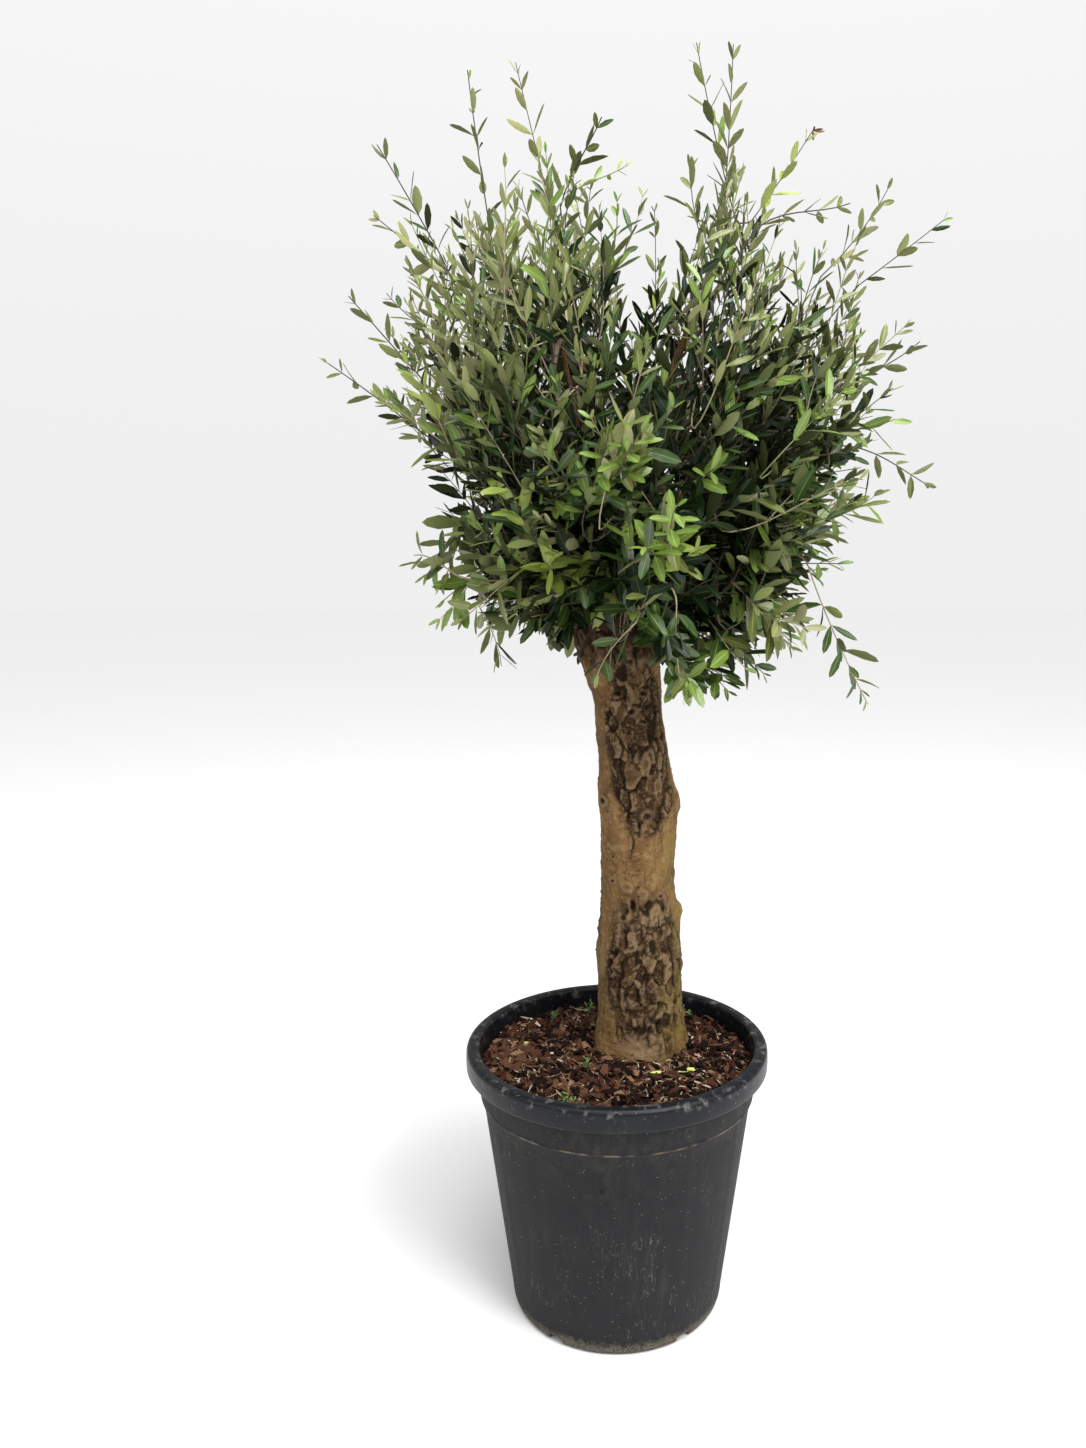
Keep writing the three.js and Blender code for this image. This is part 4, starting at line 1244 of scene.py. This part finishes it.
def tint_of_spray(twig):
    """Deals one tint to a spray: the darkest, as painted shade, low down and inside, olive and khaki high
    and outside.
    """
    tip = twig["line"][-1]
    # Twigs inside the crown take the darkest tint as painted shade.
    if twig["kind"] == "inner":
        return DEEP_SHADE
    if twig["kind"] == "young" or min((tip - s).length for s in YOUNG_SPOTS) < 0.055:
        return YOUNG
    high = smooth(tip.z, 1.15, 1.60)
    outer = smooth((tip - CROWN_HEART).length, 0.18, 0.38)
    pale = 0.22 * high + 0.50 * outer * (0.2 + 0.8 * high)
    if twig["kind"] == "tall":
        return rng.choices((GREEN, OLIVE, KHAKI), (6, 4, 0.6))[0]
    if twig["kind"] == "drooping":
        return rng.choices((GREEN, FRESH, OLIVE), (5, 3, 1))[0]
    low_left = smooth(tip.x, -0.02, -0.16) * (1 - high) * outer
    if rng.random() < 0.55 * low_left:
        return rng.choices((FRESH, OLIVE, KHAKI, YOUNG), (3, 3, 3, 1))[0]
    # Sprays round the head of the trunk mostly take the darkest tint as painted shade.
    near_head = smooth((tip - Vector((0.01, 0, 1.12))).length, 0.30, 0.16)
    if rng.random() < 0.75 * near_head:
        return DEEP_SHADE
    weights = (3.0 * (1 - outer) * (1 - high), 3.8 * (1 - pale) + 0.5, 1.5 * (1 - 0.5 * high), 3.8 * pale,
               1.2 * pale, 0.04)
    return rng.choices((DEEP_SHADE, GREEN, FRESH, OLIVE, KHAKI, YOUNG), weights)[0]


# Leaf length and gap between pairs on the shoots; other twigs have them by height.
SHOOT_LEAF = {"tall": 0.041, "withered": 0.041, "drooping": 0.050, "young": 0.026}
SHOOT_GAP = {"tall": 0.027, "withered": 0.027, "drooping": 0.022}
CURLED_LEAVES = 6
NEIGHBOURS = {DEEP_SHADE: (DEEP_SHADE, GREEN), GREEN: (GREEN, DEEP_SHADE, FRESH, OLIVE), FRESH: (FRESH, GREEN, OLIVE),
              OLIVE: (OLIVE, KHAKI, GREEN), KHAKI: (KHAKI, OLIVE), YOUNG: (YOUNG, FRESH),
              WITHERED: (WITHERED,)}


def leaf_place(spot, heading, facing, length):
    """Axes and origin of one leaf: it points along its heading, blade toward its facing."""
    ahead = heading.normalized()
    up = (facing - ahead * facing.dot(ahead)).normalized()
    return [*(up.cross(ahead) * length), *(up * length), *(ahead * length), *spot]


def dress(twig, leaves):
    """Sets opposite pairs of leaves along one twig, smaller toward the tip."""
    line = twig["line"]
    steps = [(b - a).length for a, b in zip(line, line[1:])]
    total = sum(steps)
    tip_z = line[-1].z
    tall = twig["kind"] in ("tall", "withered")
    high = smooth(tip_z, 1.12, 1.55)
    length_here = SHOOT_LEAF.get(twig["kind"], 0.054 - 0.012 * high)
    gap = SHOOT_GAP.get(twig["kind"], 0.0195 + 0.003 * high)
    bare = 0.24 * total if total > 0.13 and not tall else 0.0
    tint = tint_of_spray(twig)
    roll = rng.uniform(0, math.pi)
    at = bare + gap * rng.uniform(0.2, 0.9)
    walked, piece = 0.0, 0
    while at < total + 0.001:
        while piece < len(steps) - 1 and walked + steps[piece] < at:
            walked += steps[piece]
            piece += 1
        along = (line[piece + 1] - line[piece]).normalized()
        spot = line[piece] + along * (at - walked)
        side = along.cross(Vector((0.2, 0.3, 0.93))).normalized()
        side = Matrix.Rotation(roll, 3, along) @ side
        share = at / total
        size = length_here * (0.80 + 0.20 * math.sin(math.pi * min(1, share + 0.2)))
        size *= 1 - 0.62 * smooth(share, 0.72, 1.05)
        last = share > 0.90
        for hand in (1, -1):
            if rng.random() < (0.02 if last else 0.07):
                continue
            spread = math.radians(rng.uniform(18, 32) if last else rng.uniform(34, 60))
            spread *= 1 - 0.22 * high
            heading = along * math.cos(spread) + side * hand * math.sin(spread)
            droop = -0.04 if tall else -0.10 * (1 - high)
            heading += random_way(0.10) + Vector((0, 0, droop))
            outward = Vector((spot.x - CROWN_HEART.x, spot.y - CROWN_HEART.y, 0)).normalized()
            facing = along * 0.55 + Vector((0, 0, 0.60)) + outward * 0.55
            facing += random_way(0.75 if tall else 0.36)
            mine = rng.choice(NEIGHBOURS[tint]) if rng.random() < 0.4 else tint
            if last and tint in (GREEN, FRESH) and rng.random() < 0.5:
                mine = FRESH
            # Leaves near the crown's heart mostly take the darkest tint as painted shade.
            if spot.z < 1.46 and rng.random() < 0.9 * smooth((spot - CROWN_HEART).length, 0.30, 0.17):
                mine = DEEP_SHADE
            if twig["kind"] == "withered" and share > 0.86:
                mine = WITHERED
            scale = size * rng.uniform(0.78, 1.14)
            breadth = 0.62 * (0.8 if tall else 1 - high) + 0.38 * rng.random()
            shape = min(SHAPE_COUNT - 1, int(breadth * SHAPE_COUNT))
            leaves.append((shape, mine, leaf_place(spot, heading, facing, scale)))
        roll += math.pi / 2 + rng.uniform(-0.35, 0.35)
        at += gap * rng.uniform(0.75, 1.25) * (1 - 0.45 * smooth(share, 0.7, 1.0))
    if twig["kind"] == "withered":
        for _ in range(CURLED_LEAVES):
            curl = random_way(0.5) + Vector((0.6, 0, -0.7))
            shape = rng.randrange(SHAPE_COUNT)
            leaf = leaf_place(line[-1], curl, random_way(1.0), rng.uniform(0.010, 0.019))
            leaves.append((shape, WITHERED, leaf))


def leaf_piece(name, leaves):
    """Joins leaves into one mesh by stamping every leaf of a shape at once."""
    verts, faces, slots, start = [], [], [], 0
    for index, (shape, triangles, kinds) in enumerate(LEAF_SHAPES):
        mine = [leaf for leaf in leaves if leaf[0] == index]
        if not mine:
            continue
        places = np.array([leaf[2] for leaf in mine]).reshape(-1, 4, 3)
        tints = np.array([leaf[1] for leaf in mine])
        side, up, ahead, spot = (places[:, i, :] for i in range(4))
        grown = (shape[None, :, 0, None] * ahead[:, None] + shape[None, :, 1, None] * side[:, None] +
                 shape[None, :, 2, None] * up[:, None] + spot[:, None])
        verts.append(grown.reshape(-1, 3))
        offsets = start + np.arange(len(mine)) * len(shape)
        faces.append((triangles[None] + offsets[:, None, None]).reshape(-1, 3))
        slots.append((tints[:, None] * 3 + kinds[None]).reshape(-1))
        start += len(mine) * len(shape)
    return joined(name, np.concatenate(verts), np.concatenate(faces), np.concatenate(slots),
                  leaf_materials, 60)


for tier in ("low", "middle", "upper", "top"):
    leaves = []
    own = [name for name in twigs_of if name.split("_")[0] == tier]
    for name in own:
        for twig in twigs_of[name]:
            dress(twig, leaves)
    foliage = leaf_piece("leaves_" + tier, leaves)
    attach(foliage, "root")
    shoots = ["shoot_" + shoot for shoot, (mass, _) in SHOOTS.items() if mass in own]
    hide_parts(*("foliage_" + name for name in own), *shoots)

# ---- Weeds, splinters and fallen leaves ----------------------------------------------------
# What has blown or seeded in: tiny weeds, pale splinters of wood, long roots washed bare, and
# three fallen olive leaves that lie on the growing medium.

WEED_SPOTS = ((-0.105, 0.126), (-0.045, 0.158), (-0.039, -0.080), (-0.065, -0.146), (0.110, 0.120))
FALLEN_LEAVES = ((0.046, -0.086, 0.022, 0.1), (0.086, -0.077, 0.034, 0.35), (-0.150, 0.020, 0.020, 0.0))
SPLINTER_COUNT = 340
ROOT_COUNT = 130
ROOT_POINTS = 14
ROOT_STEP = 0.0052
STALKS_PER_WEED = 3
rng = random.Random(31)


def on_bed(x, y, lift=0.002):
    return Vector((x, y, bed_height(x, y) + lift))


LOOSE_TINTS = [
    tinted("splinter_pale", (0.520, 0.440, 0.310), 0.8, 0.2),
    tinted("root_tan", (0.230, 0.150, 0.085), 0.85, 0.2),
    tinted("root_brown", (0.120, 0.066, 0.036), 0.85, 0.2),
    tinted("weed_green", (0.100, 0.190, 0.050), 0.6, 0.3),
    tinted("leaf_fallen", (0.480, 0.520, 0.130), 0.6, 0.3),
]
SPLINTER, ROOT_TAN, ROOT_BROWN, WEED, FALLEN = range(5)
lines = []
for _ in range(SPLINTER_COUNT):
    x, y = scattered(rng, 0.96)
    way, length = rng.uniform(0, 6.28), rng.uniform(0.004, 0.013)
    across, away = length * math.cos(way), length * math.sin(way)
    points = [on_bed(x + t * across, y + t * away, 0.0035) for t in (0, 0.5, 1)]
    if math.hypot(points[2].x, points[2].y) < BED_EDGE * 0.97:
        thick = rng.uniform(0.0004, 0.0010)
        lines.append((points, (thick, thick * 1.1, thick * 0.6), SPLINTER))
for _ in range(ROOT_COUNT):
    x, y = scattered(rng, 0.90)
    way, turn = rng.uniform(0, 6.28), rng.gauss(0, 0.22)
    points = []
    for _ in range(ROOT_POINTS):
        if math.hypot(x, y) > BED_EDGE * 0.97 or math.hypot(x - FOOT_X, y - FOOT_Y) < 0.066:
            break
        points.append(on_bed(x, y, 0.0035 + rng.uniform(0, 0.0016)))
        x, y = x + ROOT_STEP * math.cos(way), y + ROOT_STEP * math.sin(way)
        way += turn + rng.gauss(0, 0.12)
    if len(points) > 5:
        thick = rng.choice((0.0005, 0.0007, 0.0010))
        tint = ROOT_TAN if rng.random() < 0.45 else ROOT_BROWN
        lines.append((points, np.linspace(thick, thick * 0.5, len(points)), tint))
leaf_verts, leaf_faces = [], []


def lay_leaf(spot, heading, facing, length):
    shape, triangles, _ = LEAF_SHAPES[rng.randrange(SHAPE_COUNT)]
    side, up, ahead, spot = np.array(leaf_place(spot, heading, facing, length)).reshape(4, 3)
    start = sum(len(v) for v in leaf_verts)
    leaf_verts.append(shape[:, :1] * ahead + shape[:, 1:2] * side + shape[:, 2:] * up + spot)
    leaf_faces.extend((triangles + start).tolist())


for x, y in WEED_SPOTS:
    for _ in range(STALKS_PER_WEED):
        foot = on_bed(x + rng.gauss(0, 0.004), y + rng.gauss(0, 0.004), 0.0)
        lean = Vector((rng.gauss(0, 0.35), rng.gauss(0, 0.35), 1)).normalized()
        tall = rng.uniform(0.010, 0.022)
        stalk = [foot + lean * tall * t for t in (0, 0.35, 0.7, 1)]
        lines.append((stalk, np.linspace(0.0006, 0.0003, 4), WEED))
        for joint in stalk[1:]:
            turn = rng.uniform(0, 6.28)
            for hand in (0, math.pi):
                out = Vector((math.cos(turn + hand), math.sin(turn + hand), 0.5))
                lay_leaf(joint, out, Vector((0, 0, 1)), rng.uniform(0.006, 0.011))
weed_triangles = len(leaf_faces)
for x, y, length, turn in FALLEN_LEAVES:
    heading = Vector((math.cos(turn), math.sin(turn), 0.05))
    lay_leaf(on_bed(x, y, 0.006), heading, Vector((0, -0.2, 1)), length)
verts, faces, kinds = tubes(lines, 4)
start = len(verts)
verts = np.concatenate([verts] + leaf_verts)
faces = faces + [tuple(start + i for i in face) for face in leaf_faces]
kinds = kinds + [WEED] * weed_triangles + [FALLEN] * (len(leaf_faces) - weed_triangles)
litter = joined("weeds_and_litter", verts, faces, kinds, LOOSE_TINTS)
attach(litter, "root")

# ---- Floor, light and camera ---------------------------------------------------------------
# A pale seamless floor under a dim even sky. A very wide sun and three soft lamps in front
# give the light; the camera stands a little above the crown's foot and looks slightly down.

bm = bmesh.new()
bmesh.ops.create_grid(bm, x_segments=1, y_segments=1, size=30)
floor = smooth_mesh(bm, "floor")
pale, tree, surface = shader("pale_floor")
surface.inputs["Roughness"].default_value = 0.9
tint = blend(tree, cloud(tree, place(tree), 0.8, 2), (0.86, 0.86, 0.86), (0.88, 0.88, 0.88))
tree.links.new(tint, surface.inputs["Base Color"])
floor.data.materials.append(pale)

SEEN_AT_HORIZON = 0.865
SEEN_OVERHEAD = 1.04
SKY_LIGHT = 0.40
world = bpy.data.worlds.new("soft_sky")
bpy.context.scene.world = world
world.use_nodes = True
tree = world.node_tree
upward = node(tree, "ShaderNodeTexCoord").outputs["Generated"]
upward = node(tree, "ShaderNodeSeparateXYZ", {0: upward}).outputs["Z"]
seen = span(tree, upward, 0, 1, SEEN_AT_HORIZON, SEEN_OVERHEAD)
seen_directly = node(tree, "ShaderNodeLightPath").outputs["Is Camera Ray"]
brightness = span(tree, seen_directly, 0, 1, SKY_LIGHT, seen)
tree.links.new(brightness, tree.nodes["Background"].inputs["Strength"])
tree.nodes["Background"].inputs["Color"].default_value = (1, 1, 1, 1)

SUN_STRENGTH = 2.19
SUN_WIDTH = math.radians(75)
SUN_FROM = Vector((0.25, -0.48, 1.0))
sun = bpy.data.objects.new("sun", bpy.data.lights.new("sun", "SUN"))
sun.data.energy, sun.data.angle = SUN_STRENGTH, SUN_WIDTH
sun.rotation_euler = SUN_FROM.to_track_quat("Z", "Y").to_euler()
bpy.context.scene.collection.objects.link(sun)


def soft_lamp(name, spot, size, watts):
    """A square lamp that faces the crown."""
    lamp = bpy.data.objects.new(name, bpy.data.lights.new(name, "AREA"))
    lamp.data.size, lamp.data.energy = size, watts
    lamp.location = spot
    lamp.rotation_euler = (Vector((0, 0, 1.1)) - Vector(spot)).to_track_quat("-Z", "Y").to_euler()
    bpy.context.scene.collection.objects.link(lamp)


soft_lamp("top_lamp", (0.5, -0.8, 4.2), 2.0, 95)
soft_lamp("key_lamp", (1.9, -2.4, 3.2), 1.5, 95)
soft_lamp("fill_lamp", (-2.6, -1.6, 2.6), 2.0, 22)

CAMERA_DISTANCE = 1.557
CAMERA_HEIGHT = 1.10
CAMERA_DIP = math.radians(8.0)
CAMERA_LENS = 27.05
CAMERA_SHIFT = -0.0511
SENSOR_WIDTH = 36
camera = bpy.data.objects.new("camera", bpy.data.cameras.new("camera"))
camera.data.lens, camera.data.sensor_width = CAMERA_LENS, SENSOR_WIDTH
camera.data.shift_x = CAMERA_SHIFT
camera.location = (0, -CAMERA_DISTANCE, CAMERA_HEIGHT)
camera.rotation_euler = (math.pi / 2 - CAMERA_DIP, 0, 0)
camera.data.clip_start, camera.data.clip_end = 0.05, 100
bpy.context.scene.collection.objects.link(camera)
bpy.context.scene.camera = camera
bpy.context.scene.view_settings.view_transform = "Standard"
